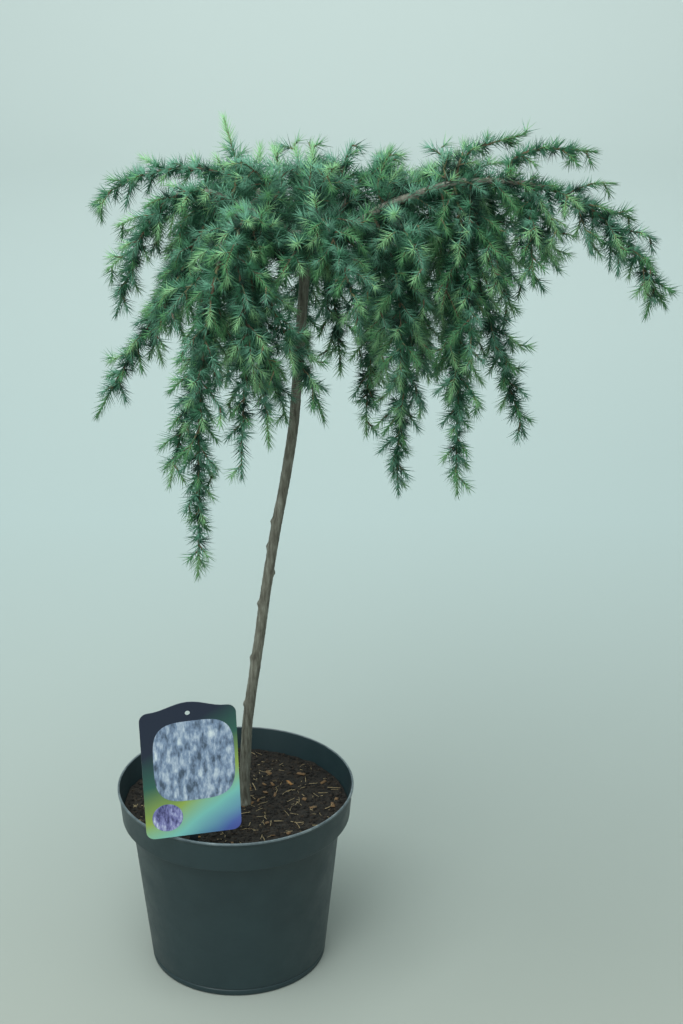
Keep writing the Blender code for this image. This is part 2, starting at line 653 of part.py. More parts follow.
def build():
    for thing in list(bpy.data.objects):
        bpy.data.objects.remove(thing)
    plastic = material("pot_plastic", (0.035, 0.05, 0.06), 0.5)
    compost = material("compost", (0.035, 0.024, 0.017), 0.95)
    bark = material("bark", (0.20, 0.17, 0.13), 0.85)
    twig_bark = material("young_bark", (0.16, 0.11, 0.07), 0.85)
    card = material("label_card", (0.45, 0.52, 0.62), 0.35)
    greens = [material("needles_%d" % number, shade, 0.6) for number, shade in enumerate(SHADES)]

    build_pot(plastic)
    build_label(build_soil(compost), card)
    build_trunk(bark)

    limbs = {"trunk": trunk_line()}
    for row in BOUGHS:
        line = limb_line(limbs[row.parent], row, BOUGH_STEP)
        build_bough(row, line, twig_bark)
        fine = even(line, SAMPLE_STEP)
        limbs[row.name] = (fine, np.linspace(row.foot, row.end, len(fine)))
    stems = [limb_line(limbs[row.parent], row, SAMPLE_STEP) for row in MASSES]
    space = Space(stems, limbs.values())
    for number, (row, line) in enumerate(zip(MASSES, stems)):
        grow(number, row, line, space, greens[number % len(greens)])


build()
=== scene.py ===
"""The looks of a weeping deodar cedar, grafted high on a slim stem, in a round nursery pot.

Sizes are in millimetres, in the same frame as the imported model, and meshes are made in metres. The
courses of the limbs and the rule by which twigs branch are the model's own, carried on to finer twigs
that bear needles one by one along young shoots and in rosettes on older wood.
"""

import json
import math
import random
from collections import namedtuple
from functools import partial

import bmesh
import bpy
import numpy as np
from mathutils import Matrix, Vector, noise

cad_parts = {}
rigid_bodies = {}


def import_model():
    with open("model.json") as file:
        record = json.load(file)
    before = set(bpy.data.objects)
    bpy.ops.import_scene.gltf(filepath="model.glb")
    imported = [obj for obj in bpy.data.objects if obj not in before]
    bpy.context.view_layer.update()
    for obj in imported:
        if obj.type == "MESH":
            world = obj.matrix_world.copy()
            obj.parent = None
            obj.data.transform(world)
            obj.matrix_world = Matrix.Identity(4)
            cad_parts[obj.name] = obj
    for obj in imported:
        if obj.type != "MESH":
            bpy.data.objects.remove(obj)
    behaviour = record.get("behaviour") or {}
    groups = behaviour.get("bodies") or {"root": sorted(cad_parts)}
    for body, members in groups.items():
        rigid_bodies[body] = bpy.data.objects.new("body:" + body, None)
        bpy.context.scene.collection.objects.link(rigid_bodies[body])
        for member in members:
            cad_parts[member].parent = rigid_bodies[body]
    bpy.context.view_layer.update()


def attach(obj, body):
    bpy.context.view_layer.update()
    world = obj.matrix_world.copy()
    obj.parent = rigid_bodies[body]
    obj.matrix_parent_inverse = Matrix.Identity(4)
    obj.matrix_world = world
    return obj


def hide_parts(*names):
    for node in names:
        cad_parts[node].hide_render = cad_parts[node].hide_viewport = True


MM = 0.001
METRE = 1000.0
GAP = 0.3
UP = np.array((0.0, 0.0, 1.0))
GOLDEN_ANGLE = math.radians(137.5)

# A random start round an axis: a little over a full turn
ANY_TURN = 6.3

# Camera: where it stands, how far it looks down, and its focal length for a 36 mm high frame
CAMERA_PLACE = (0.112, -2.045, 1.373)
CAMERA_PITCH = math.radians(22.74)
CAMERA_LENS = 77.5
FRAME_HEIGHT = 36.0

# The name of a new material's shader node
SHADER = "Principled BSDF"

# Pot
TURNED_SIDES = 160
BASE_RADIUS = 93.5
BODY_TOP_RADIUS = 111.0
BAND_FOOT_RADIUS = 120.8
RIM_RADIUS = 125.0
BAND_HEIGHT = 35.0
RIM_HEIGHT = 205.0
LIP_HEIGHT = 3.0
EDGE = 1.5
FOOT_GROOVE_HEIGHT = 8.0
GROOVE_DEPTH = 1.2
GROOVE_HALF = 1.2
CORNER_ROUND = 1.4
CORNER_SHARE = 0.45
SHARP_ANGLE = math.radians(50)
WALL = 2.2
FLOOR = 2.5
DRAIN_HOLES = 6
DRAIN_RADIUS = 6.0
DRAIN_CIRCLE = 70.0
DRAIN_SIDES = 24
STEP_HEIGHT = RIM_HEIGHT - BAND_HEIGHT

# The painted highlight along the rim's top and outer edge: how far it reaches down inside, down outside, and
# in from the outside
HIGHLIGHT_INSIDE = 0.7
HIGHLIGHT_OUTSIDE = 1.8
HIGHLIGHT_DEPTH = 0.4

# Soil: its height, the size and height of its clods, and what lies on it
SOIL_HEIGHT = 180.0
SOIL_RADIUS = 118.6
SOIL_RINGS = 110
SOIL_SIDES = 260
CLODS = ((34.0, 2.0), (11.0, 1.5), (4.5, 1.1))
CLOD_PATTERN = 3.7
LEVEL_SHARE = 0.25
LEVEL_REACH = 60.0
LITTER_SEED = 21
CRUMBS = 6500
CRUMB_SIZES = (0.5, 2.1)
BLACK_CRUMBS = 0.62
STRAWS = 300
STRAW_LENGTHS = (2.5, 13.0)
STRAW_RADII = (0.16, 0.42)
CHIPS = 46
CHIP_SIZES = ((2.0, 5.5), (1.0, 2.4), (0.35, 0.7))
WOOD_CHIP_EVERY = 15
LITTER_SHADES = {
    "crumb_black": (0.006, 0.005, 0.004),
    "crumb_brown": (0.028, 0.020, 0.013),
    "straw": (0.34, 0.27, 0.15),
    "bark_chip": (0.16, 0.095, 0.045),
    "wood_chip": (0.33, 0.17, 0.06),
}

# Trunk: knots of its course, then (height, radius) from the root flare to the graft
TRUNK_COURSE = ((8, 0, 180), (9, 0, 200), (14, 0, 280), (26, 0, 365), (41, 0, 470), (62, 0, 590),
                (71, 0, 690), (77, 0, 770), (80, 0, 815))
TRUNK_GIRTH = ((180, 8.6), (188, 6.4), (205, 5.6), (600, 5.0), (750, 4.8), (775, 6.8), (800, 7.6), (815, 6.0))
BUD_SCARS = ((300, 200), (352, 165), (415, 190), (478, 175), (506, 185), (448, 20))
SCAR_HEIGHT = 1.9
SCAR_WIDTH = 3.0
SCAR_TURN = 0.5
TRUNK_SIDES = 26
TRUNK_RING = 2.2
BOUGH_SIDES = 12
BOUGH_RING = 3.0
FOOT_FLARE = 0.35
FLARE_REACH = 5.0
TIP_SHARE = 0.6

# Bark: its relief, the girth from which it is full, then the share of the ridges and of the wrinkles, and
# how fast each changes round a limb, across it and along it
BARK_RELIEF = 0.42
FULL_RELIEF_GIRTH = 5.0
RIDGES = (1.1, 0.55, 0.05, 0.035)
WRINKLES = (0.8, 2.0, 0.5, 0.28)
WRINKLE_PATTERN = 9.0

# Plant label
LABEL_WIDTH = 97.0
LABEL_HEIGHT = 143.0
LABEL_ARCH = 8.0
LABEL_CORNER = 9.0
LABEL_THICKNESS = 0.9
LABEL_FOOT = (-37.0, -110.0, 208.0)
LABEL_TURN = math.radians(11.5)
LABEL_TILT = math.radians(1.5)
EYELET_RADIUS = 2.5
EYELET_DROP = 4.0
EYELET_SIDES = 32
CREST_SHARE = 0.85
BAND_SLOPES = (-5.4, 3.6, 0.2)
BAND_SHIFT = 1.88
PANEL_MIDDLE = (4.0, 85.0)
PANEL_REACH = (41.0, 45.0)
PANEL_ROUNDNESS = 0.55
PANEL_SIDES = 72
INSET_MIDDLE = (-26.0, 23.0)
INSET_RADIUS = 15.5
PANEL_PROUD = 0.12
PANEL_SUNK = 0.1
TONGUE_THICKNESS = 0.6
TONGUE_WIDTH = 9.0
TONGUE_LENGTH = 56.0
TONGUE_POINT = 12.0
TONGUE_SLANT = math.radians(22.0)

# Boughs and masses of foliage, as in the model: parent, how far before the parent's end the limb
# leaves it, tip, upward aim on leaving, slope on arriving, then radii for a bough or reach for a mass.
Bough = namedtuple("Bough", "name parent back tip leave arrive foot end")
BOUGHS = [Bough("bough_" + name, *rest) for name, *rest in (
    ("left", "trunk", 12, (32, -5, 847), 0.0, 0.7, 4.2, 3.4),
    ("right", "trunk", 15, (166, -5, 838), 0.0, 0.3, 5.0, 4.0),
    ("front_left", "trunk", 24, (28, -52, 840), 0.0, 0.3, 3.8, 3.1),
    ("front_right", "trunk", 24, (90, -56, 834), 0.0, 0.3, 3.8, 3.1),
    ("front", "trunk", 38, (30, -88, 842), 0.0, 0.3, 3.8, 3.0),
    ("back", "trunk", 38, (84, 62, 838), 0.0, 0.5, 3.8, 3.1),
    ("back_left", "trunk", 27, (38, 48, 838), 0.0, 0.5, 3.8, 3.1),
    ("back_right", "trunk", 28, (128, 52, 838), 0.0, 0.4, 3.8, 3.1),
    ("left_outer", "bough_left", 6, (-16, -24, 852), 0.0, 0.1, 2.9, 2.5),
    ("front_left_low", "bough_front_left", 0, (0, -112, 806), 0.0, -1.6, 2.9, 2.6),
    ("right_mid", "bough_right", 0, (238, -5, 857), 0.0, 0.0, 3.9, 3.3),
    ("right_far", "bough_right_mid", 0, (308, 0, 848), 0.0, -0.3, 3.2, 2.6),
    ("right_back", "bough_right", 8, (212, 48, 852), 0.3, 0.1, 3.2, 2.6),
)]
Mass = namedtuple("Mass", "name parent back tip leave arrive reach")
MASSES = [Mass("foliage_" + name, *rest) for name, *rest in (
    ("crown_top", "trunk", 0, (88, 14, 897), 0.0, 2.0, 44),
    ("crown_left", "bough_left", 16, (46, 34, 890), 2.0, 0.8, 50),
    ("crown_right", "bough_back_right", 16, (126, 22, 890), 2.5, 0.6, 46),
    ("crown_front", "bough_front_left", 18, (14, -78, 896), 2.5, 0.4, 50),
    ("crown_front_right", "bough_front_right", 16, (112, -82, 894), 2.5, 0.6, 48),
    ("crown_back", "bough_back", 15, (63, 98, 874), 2.5, 0.4, 50),
    ("top_shoot", "bough_left_outer", 26, (0, 0, 928), 3.0, 4.0, 32),
    ("left_arch", "bough_left", 0, (-132, 5, 823), 0.0, -1.2, 50),
    ("left_fall", "bough_left_outer", 0, (-109, -15, 717), 0.0, -2.5, 48),
    ("left_low", "bough_left_outer", 5, (-131, -34, 620), -1.0, -2.0, 48),
    ("left_clump", "bough_left_outer", 12, (-66, -76, 709), -0.5, -4.0, 50),
    ("front_left", "bough_front_left", 6, (-49, -122, 749), 0.2, -3.0, 48),
    ("low_left", "bough_front_left_low", 5, (-51, -137, 588), -0.3, -5.0, 46),
    ("lowest", "bough_front_left_low", 0, (-24, -155, 503), 0.0, -8.0, 42),
    ("low_middle", "bough_front_left_low", 11, (20, -150, 601), -0.3, -6.0, 44),
    ("front", "bough_front", 0, (34, -150, 688), 0.0, -5.0, 46),
    ("front_low", "bough_front", 6, (45, -124, 623), -0.5, -6.0, 44),
    ("over_trunk", "bough_front", 12, (98, -95, 637), -1.0, -5.0, 44),
    ("by_trunk", "bough_front", 18, (61, -50, 620), -1.0, -5.0, 42),
    ("front_short", "bough_front_right", 8, (51, -112, 774), 0.0, -4.0, 42),
    ("front_bright", "bough_front_right", 0, (131, -150, 742), 0.0, -2.5, 48),
    ("right_front", "bough_right", 6, (188, -110, 788), 0.0, -3.0, 48),
    ("right_inner", "bough_right", 22, (170, -10, 528), -2.0, -7.0, 50),
    ("right_tuft", "bough_right", 14, (163, 4, 896), 3.0, 2.5, 48),
    ("right_middle", "bough_right", 30, (168, -85, 665), -0.5, -6.0, 48),
    ("right_crest", "bough_right_mid", 26, (206, 15, 892), 3.0, 2.5, 46),
    ("right_low", "bough_right_mid", 34, (226, -45, 542), -2.0, -7.0, 50),
    ("right_outer", "bough_right_mid", 12, (299, 20, 580), -2.0, -3.0, 48),
    ("right_clump", "bough_right_mid", 20, (236, -72, 681), -0.5, -5.0, 48),
    ("right_pale", "bough_right_mid", 5, (263, -55, 751), -0.5, -4.0, 44),
    ("upper_shoot", "bough_right_mid", 16, (296, 12, 902), 0.9, 0.4, 42),
    ("upper_far", "bough_right_far", 42, (364, 15, 879), 0.9, -0.1, 42),
    ("right_tip", "bough_right_far", 0, (431, 0, 721), 0.0, -1.8, 52),
    ("hanging_near", "bough_right_far", 13, (294, -42, 754), -1.0, -4.0, 42),
    ("hanging_far", "bough_right_far", 20, (326, 22, 752), -1.5, -2.5, 44),
    ("back_left", "bough_back_left", 0, (-85, 108, 658), 0.0, -3.0, 54),
    ("back_left_low", "bough_back_left", 6, (-10, 128, 594), -0.2, -4.0, 52),
    ("back", "bough_back", 0, (68, 180, 590), 0.0, -4.0, 56),
    ("back_low", "bough_back", 6, (112, 138, 612), -0.2, -5.0, 52),
    ("back_right", "bough_back_right", 0, (206, 160, 588), 0.0, -3.5, 56),
    ("back_inner", "bough_back_right", 6, (138, 90, 554), -1.0, -6.0, 50),
    ("far_back", "bough_right_back", 0, (285, 118, 672), 0.0, -3.0, 54),
    ("far_back_low", "bough_right_back", 6, (234, 92, 578), -1.0, -5.0, 50),
)]
CURVE_PULL = 0.36
CURVE_POINTS = 60
FOOT_STRETCH = 2.0
STRETCH_POINTS = 12
SAMPLE_STEP = 4.0
FINE_STEP = 2.0
LEAST_STEP = 0.5
UPRIGHT = 0.05

# Twigs: how they branch, as in the model but closer together, and once more from each twig
TWIG_ANGLE = math.radians(52)
TWIG_DROOP = 0.38
TWIG_POINTS = 12
TWIG_FOOT_POINTS = 4
TWIG_SPACING = 7.5
TWIG_SPAN = (0.0, 0.92)
TWIG_LENGTHS = (1.36, 0.98)
TWIG_VARIETY = (0.6, 1.05)
SHORTER_TRIES = (1.0, 0.8, 0.62, 0.48, 0.36)
SHORTEST_TWIG = 18.0
TIP_ROOM = 12.0
SIDE_TWIG_SPACING = 11.0
SIDE_TWIG_SPAN = (0.25, 0.8)
SIDE_TWIG_SHARE = 0.62
SIDE_TWIG_LENGTHS = (1.2, 0.6)
BOUGH_TWIG_SPACING = 4.5
BOUGH_TWIG_SPAN = (0.12, 1.0)
BOUGH_TWIG_LENGTH = 42.0
BOUGH_TWIG_LIFT = 0.15
BOUGH_SEED = 100
STEM_RADII = (1.7, 0.7)
TWIG_RADII = (1.0, 0.5)
TWIG_SIDES = 5
TWIG_RING = 6.0
SPACE_OVERLAP = 8.0
LIMB_CLEARANCE = 0.8
PLACES_AT_ONCE = 2000

# The crown's middle, and how far out of it a shoot counts as outside
CROWN_MIDDLE = (95.0, 10.0, 800.0)
CROWN_REACH = (190.0, 140.0, 150.0)

# Needles: along a young shoot one by one, and on older wood in rosettes
NEEDLE_RADIUS = 0.50
NEEDLE_LENGTHS = (17.0, 24.0)
OUTER_SHORTER = 0.30
MID_NEEDLE = 0.6
OFF_AXIS = (0.31, 0.23, 0.92)
YOUNG_LENGTH = 34.0
YOUNG_SHARE = 0.75
YOUNG_END = 0.3
YOUNG_STEP = 0.5
YOUNG_LEAN = (math.radians(50), math.radians(16))
LEAN_SPREAD = 0.16
TIP_NEEDLE_SHARE = 0.62
ROSETTE_STEP = 3.8
ROSETTE_NEEDLES = 24
ROSETTE_LEAN = math.radians(60)
ROSETTE_SPREAD = (math.radians(12), math.radians(58))
BARE_FOOT = 5.0

# Colours of the needles, from the shaded inside of the crown to the bright ends of shoots. The darkest are
# partly painted shade for the crown's inside and partly the darker colour of older needles.
NEEDLE_SHADES = {
    "needles_deep": (0.006, 0.034, 0.021),
    "needles_dark": (0.013, 0.074, 0.041),
    "needles_mid": (0.042, 0.165, 0.084),
    "needles_bloom": (0.118, 0.305, 0.205),
    "needles_fresh": (0.110, 0.310, 0.130),
    "needles_bright": (0.250, 0.500, 0.245),
}

# The numbers of the shades of young shoots and of rosettes, and how often each comes, inside the crown and
# outside this depth. Then the share of a young shoot that is two shades darker.
# The darker shades that come more often inside the crown are partly painted shade.
OUTER_DEPTH = 0.55
YOUNG_SHADES = (((2, 3, 4), (0.4, 0.3, 0.3)), ((3, 4, 5), (0.25, 0.35, 0.40)))
ROSETTE_SHADES = (0, 1, 2, 3)
ROSETTE_WEIGHTS = ((0.30, 0.32, 0.24, 0.14), (0.12, 0.24, 0.34, 0.30))
DARK_SHARE = 0.25

# Stage, in metres: the wall behind the pot, the bend below it, and where the floor's painted shade, darker at
# the front and paler towards the back, begins and ends
STAGE_WALL = 5.0
STAGE_HEIGHT = 6.0
STAGE_WIDTH = 60.0
STAGE_BEND = 1.5
STAGE_BEND_STEPS = 16
STAGE_FRONT = -0.3
STAGE_BACK = 4.4

# Lights: place, target and size in metres, power in watts, and colour
WORLD_COLOUR = (0.80, 0.93, 0.92)
WORLD_STRENGTH = 0.54
LIGHTS = (
    ("ceiling", (-0.4, -0.8, 2.9), (0.1, 0.0, 0.5), 2.4, 84.0, (0.95, 1.0, 0.98)),
    ("backdrop", (0.1, 2.4, 3.0), (0.1, 4.6, 0.5), 2.0, 60.0, (0.95, 1.0, 0.99)),
    ("front", (-1.3, -2.6, 1.7), (0.1, 0.0, 0.6), 1.4, 26.0, (0.95, 1.0, 0.99)),
)

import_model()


def unit(vector):
    return vector / np.linalg.norm(vector)


def units(vectors):
    return vectors / np.linalg.norm(vectors, axis=1, keepdims=True)


def polar(radius, turn):
    return radius * math.cos(turn), radius * math.sin(turn)


# Materials

def material_of(name, colour, roughness, **sockets):
    """A material of one plain colour, with some more of its shader's sockets set."""
    made = bpy.data.materials.new(name)
    made.use_nodes = True
    made.diffuse_color = (*colour, 1.0)
    shader = made.node_tree.nodes[SHADER]
    shader.inputs["Base Color"].default_value = (*colour, 1.0)
    shader.inputs["Roughness"].default_value = roughness
    for socket, value in sockets.items():
        shader.inputs[socket.replace("_", " ")].default_value = value
    return made


def node(tree, kind, **values):
    """A node with its properties and the values of its named inputs set."""
    made = tree.nodes.new(kind)
    for name, value in values.items():
        if name in made.inputs:
            made.inputs[name].default_value = value
        else:
            setattr(made, name, value)
    return made


def noise_of(tree, scale, detail=4.0, roughness=0.55, stretch=(1, 1, 1)):
    """Noise in the object's own coordinates, which are metres."""
    place = tree.nodes.new("ShaderNodeTexCoord")
    mapping = node(tree, "ShaderNodeMapping", Scale=stretch)
    pattern = node(tree, "ShaderNodeTexNoise", Scale=scale, Detail=detail, Roughness=roughness)
    tree.links.new(place.outputs["Object"], mapping.inputs["Vector"])
    tree.links.new(mapping.outputs["Vector"], pattern.inputs["Vector"])
    return pattern.outputs["Fac"]


def axes_of(tree):
    """The object's own coordinates."""
    place = tree.nodes.new("ShaderNodeTexCoord")
    split = tree.nodes.new("ShaderNodeSeparateXYZ")
    tree.links.new(place.outputs["Object"], split.inputs["Vector"])
    return split.outputs


def coloured(tree, value, stops, socket="Base Color"):
    """Sets a socket of the shader by a ramp of (position, colour) stops over a value."""
    ramp = tree.nodes.new("ShaderNodeValToRGB")
    elements = ramp.color_ramp.elements
    while len(elements) < len(stops):
        elements.new(0.5)
    for element, (position, colour) in zip(elements, stops):
        element.position = position
        element.color = (*colour, 1.0)
    tree.links.new(value, ramp.inputs["Fac"])
    tree.links.new(ramp.outputs["Color"], tree.nodes[SHADER].inputs[socket])


def patterned(name, colour, roughness, pattern, stops, relief=None):
    """A material coloured by noise. Its relief is more noise, a strength, and a height in millimetres."""
    made = material_of(name, colour, roughness)
    tree = made.node_tree
    coloured(tree, noise_of(tree, *pattern), stops)
    if relief:
        pattern, strength, height = relief
        bump = node(tree, "ShaderNodeBump", Strength=strength, Distance=height * MM)
        tree.links.new(noise_of(tree, *pattern), bump.inputs["Height"])
        tree.links.new(bump.outputs["Normal"], tree.nodes[SHADER].inputs["Normal"])
    return made


def plain_materials(shades, roughness, **sockets):
    """A material of one colour for each of the shades."""
    return [material_of(name, colour, roughness, **sockets) for name, colour in shades.items()]


def bark_material():
    """Young grey-brown bark with long pale streaks and darker specks."""
    return patterned("bark_finish", (0.14, 0.125, 0.09), 0.82, (60.0, 6.0, 0.65, (6, 6, 1)), (
        (0.30, (0.060, 0.056, 0.042)),
        (0.44, (0.125, 0.122, 0.096)),
        (0.58, (0.190, 0.190, 0.155)),
        (0.74, (0.30, 0.31, 0.27))), ((420.0, 5.0, 0.6, (2, 2, 1)), 0.5, 0.5))


def twig_material():
    """Young twigs from dark brown to olive."""
    return patterned("twig_finish", (0.16, 0.10, 0.05), 0.75, (28.0,), (
        (0.36, (0.060, 0.040, 0.024)),
        (0.50, (0.120, 0.084, 0.048)),
        (0.64, (0.15, 0.15, 0.070))))


def pot_material():
    """Dark slate moulded plastic, dusty and duller in places, with a fine moulded grain."""
    made = patterned("pot_finish", (0.028, 0.046, 0.056), 0.46, (9.0, 7.0, 0.7), (
        (0.35, (0.012, 0.029, 0.035)),
        (0.60, (0.017, 0.038, 0.044)),
        (0.80, (0.032, 0.056, 0.063))), ((900.0, 3.0, 0.6), 0.12, 0.25))
    tree = made.node_tree
    coloured(tree, noise_of(tree, 22.0, 6.0, 0.7), ((0.35, (0.40,) * 3), (0.7, (0.58,) * 3)), "Roughness")
    return made


def lip_highlight_material():
    """The pot's lip, paler where a painted highlight runs along its top and outer edge."""
    return patterned("lip_painted_highlight", (0.09, 0.12, 0.135), 0.38, (55.0, 6.0, 0.7), (
        (0.35, (0.045, 0.066, 0.078)),
        (0.55, (0.11, 0.145, 0.16)),
        (0.75, (0.24, 0.28, 0.29))))


def soil_material():
    """Moist dark compost with browner crumbs."""
    return patterned("soil_finish", (0.020, 0.013, 0.008), 0.93, (160.0, 8.0, 0.7), (
        (0.34, (0.003, 0.003, 0.002)),
        (0.50, (0.010, 0.008, 0.006)),
        (0.64, (0.026, 0.020, 0.013)),
        (0.80, (0.065, 0.050, 0.034))), ((700.0, 6.0, 0.7), 0.8, 0.8))


# Meshes

def place_piece(made, slot, *nodes):
    """Puts a finished object on the root body, in place of the nodes that it stands for."""
    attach(made, "root")
    if nodes:
        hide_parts(*nodes)


def linked(name, data):
    """A new object in the scene."""
    made = bpy.data.objects.new(name, data)
    bpy.context.scene.collection.objects.link(made)
    return made


def mesh_from(name, points, faces, finishes, shades=None, smooth=True):
    """An object from arrays of points in millimetres and of faces with three or four corners."""
    mesh = bpy.data.meshes.new(name)
    points = np.asarray(points, np.float32) * MM
    faces = np.asarray(faces, np.int32)
    corners = faces.shape[1]
    mesh.vertices.add(len(points))
    mesh.vertices.foreach_set("co", points.ravel())
    mesh.loops.add(faces.size)
    mesh.loops.foreach_set("vertex_index", faces.ravel())
    mesh.polygons.add(len(faces))
    mesh.polygons.foreach_set("loop_start", np.arange(0, faces.size, corners, dtype=np.int32))
    for finish in finishes:
        mesh.materials.append(finish)
    if shades is not None:
        mesh.polygons.foreach_set("material_index", np.asarray(shades, np.int32))
    mesh.update(calc_edges=True)
    mesh.validate()
    if smooth:
        mesh.shade_smooth()
    return linked(name, mesh)


def object_of(name, shape):
    """An object from a shape that was built corner by corner."""
    mesh = bpy.data.meshes.new(name)
    shape.to_mesh(mesh)
    shape.free()
    return linked(name, mesh)


def drill(radius, depth, sides, place):
    """A round cutter along its own upright axis."""
    shape = bmesh.new()
    bmesh.ops.create_cone(shape, cap_ends=True, segments=sides, radius1=radius * MM, radius2=radius * MM,
                          depth=depth * MM, matrix=place)
    return object_of("drill", shape)


def cut(thing, cutter):
    """Takes the cutter's shape out of a thing, and removes the cutter."""
    modifier = thing.modifiers.new("cut", "BOOLEAN")
    modifier.operation = "DIFFERENCE"
    modifier.object = cutter
    graph = bpy.context.evaluated_depsgraph_get()
    mesh = bpy.data.meshes.new_from_object(thing.evaluated_get(graph))
    thing.modifiers.clear()
    thing.data = mesh
    bpy.data.objects.remove(cutter)


def tube(line, radii, sides, closing=0.0):
    """Points and triangles of a round tube along a line, drawn to a point past its end by closing."""
    ahead, side, top = frames(line)
    turns = np.arange(sides) * math.tau / sides
    ring = side[:, None] * np.cos(turns)[None, :, None] + top[:, None] * np.sin(turns)[None, :, None]
    points = (line[:, None] + ring * np.asarray(radii)[:, None, None]).reshape(-1, 3)
    faces = []
    for place in range(len(line) - 1):
        for corner in range(sides):
            a, b = place * sides + corner, place * sides + (corner + 1) % sides
            faces += [(a, b, b + sides), (a, b + sides, a + sides)]
    points = np.vstack((points, line[0] - ahead[0] * radii[0] * 0.5, line[-1] + ahead[-1] * closing))
    foot, last = len(points) - 2, (len(line) - 1) * sides
    for corner in range(sides):
        following = (corner + 1) % sides
        faces += [(following, corner, foot), (last + corner, last + following, foot + 1)]
    return points, np.array(faces, np.int32)


class Gathered:
    """Points and faces of many small shapes, with a shade for each face."""

    def __init__(self):
        self.points, self.faces, self.shades, self.count = [], [], [], 0

    def add(self, points, faces, shade=0):
        self.points.append(points)
        self.faces.append(np.asarray(faces, np.int32) + self.count)
        self.shades.append(np.full(len(faces), shade) if np.isscalar(shade) else shade)
        self.count += len(points)

    def object(self, name, finishes, smooth=True):
        return mesh_from(name, np.vstack(self.points), np.vstack(self.faces), finishes,
                         np.concatenate(self.shades), smooth)


# Courses of the limbs, by the model's rule

def run_of(line):
    """How far along a line each of its points lies."""
    return np.concatenate(([0.0], np.cumsum(np.linalg.norm(np.diff(line, axis=0), axis=1))))


def at_run(marks, run, rows):
    """Rows of points or directions along a line, read at other marks along it."""
    return np.stack([np.interp(marks, run, rows[:, axis]) for axis in range(3)], axis=-1)


def even(points, step):
    """The same line with its points set evenly, about step apart."""
    run = run_of(points)
    marks = np.linspace(0.0, run[-1], max(2, int(round(run[-1] / step)) + 1))
    return at_run(marks, run, points)


def shortened(line, less):
    """A line without its last few millimetres, which the needles at its tip take up."""
    run = run_of(line)
    keep = run < run[-1] - less - LEAST_STEP
    return np.vstack((line[keep], at_run(run[-1] - less, run, line)))


def length_of(line):
    return np.linalg.norm(np.diff(line, axis=0), axis=1).sum()


def smooth_line(knots, step):
    """A smooth curve through the knots, with points about step apart."""
    knots = np.asarray(knots, float)
    padded = np.vstack((2 * knots[0] - knots[1], knots, 2 * knots[-1] - knots[-2]))
    t = np.linspace(0, 1, STRETCH_POINTS, endpoint=False)[:, None]
    stretches = []
    for a, b, c, d in zip(padded, padded[1:], padded[2:], padded[3:]):
        stretches.append(0.5 * (2 * b + (c - a) * t + (2 * a - 5 * b + 4 * c - d) * t ** 2
                                + (3 * b - a - 3 * c + d) * t ** 3))
    return even(np.vstack(stretches + [knots[-1:]]), step)


def frames(points):
    """The direction at each point of a line, and two square sides carried along without twisting."""
    ahead = units(np.gradient(points, axis=0))
    side = np.cross(UP, ahead[0])
    if np.linalg.norm(side) < UPRIGHT:
        side = np.array((1.0, 0.0, 0.0))
    sides = []
    for direction in ahead:
        side = unit(side - direction * np.dot(side, direction))
        sides.append(side)
    sides = np.array(sides)
    return ahead, sides, np.cross(ahead, sides)


def trunk_line(step):
    """The trunk's course and its radius at each point."""
    line = smooth_line(TRUNK_COURSE, step)
    heights, radii = zip(*TRUNK_GIRTH)
    return line, np.interp(line[:, 2], heights, radii)


def leaving_point(parent, back, tip, leave):
    """Where a limb leaves its parent, just clear of it, and in which direction."""
    line, radii = parent
    if back == 0:
        ahead = unit(line[-1] - line[-2])
        return line[-1] + ahead * GAP, ahead
    run = run_of(line)
    at = run[-1] - back
    foot = at_run(at, run, line)
    ahead = unit(foot - at_run(at - FINE_STEP, run, line))
    aim = unit(np.asarray(tip, float) - foot) + UP * leave
    out = unit(aim - ahead * np.dot(aim, ahead))
    return foot + out * (np.interp(at, run, radii) + GAP), out


def limb_line(parent, row, step):
    """The course of a bough or a mass's stem, from just clear of its parent to its tip."""
    start, out = leaving_point(parent, row.back, row.tip, row.leave)
    tip = np.asarray(row.tip, float)
    flat = (tip - start) * (1, 1, 0)
    arrive = unit(unit(flat) + UP * row.arrive)
    begin = start + out * FOOT_STRETCH
    pull = CURVE_PULL * np.linalg.norm(tip - begin)
    a, b, c, d = begin, begin + out * pull, tip - arrive * pull, tip
    t = np.linspace(0, 1, CURVE_POINTS)[:, None]
    curve = (1 - t) ** 3 * a + 3 * (1 - t) ** 2 * t * b + 3 * (1 - t) * t ** 2 * c + t ** 3 * d
    return np.vstack((start, even(curve, step)))


# Pot

def outer_wall(height):
    """The radius of the body's outside at a height."""
    return BASE_RADIUS + (BODY_TOP_RADIUS - BASE_RADIUS) * height / STEP_HEIGHT


def inner_band(height):
    """The radius of the rim band's inside at a height."""
    share = (height - STEP_HEIGHT - WALL) / (RIM_HEIGHT - STEP_HEIGHT - WALL)
    return BAND_FOOT_RADIUS + (RIM_RADIUS - BAND_FOOT_RADIUS) * share - WALL


def rounded(corners, radius, steps=5):
    """A turned profile with all its corners but the first and last rounded off."""
    course = [corners[0]]
    for before, corner, after in zip(corners, corners[1:], corners[2:]):
        before, corner, after = (np.array(point, float) for point in (before, corner, after))
        back, on = before - corner, after - corner
        reach = min(radius, CORNER_SHARE * min(np.linalg.norm(back), np.linalg.norm(on)))
        start, end = corner + unit(back) * reach, corner + unit(on) * reach
        for share in np.linspace(0, 1, steps):
            point = (1 - share) ** 2 * start + 2 * share * (1 - share) * corner + share ** 2 * end
            course.append(tuple(point))
    return course + [corners[-1]]


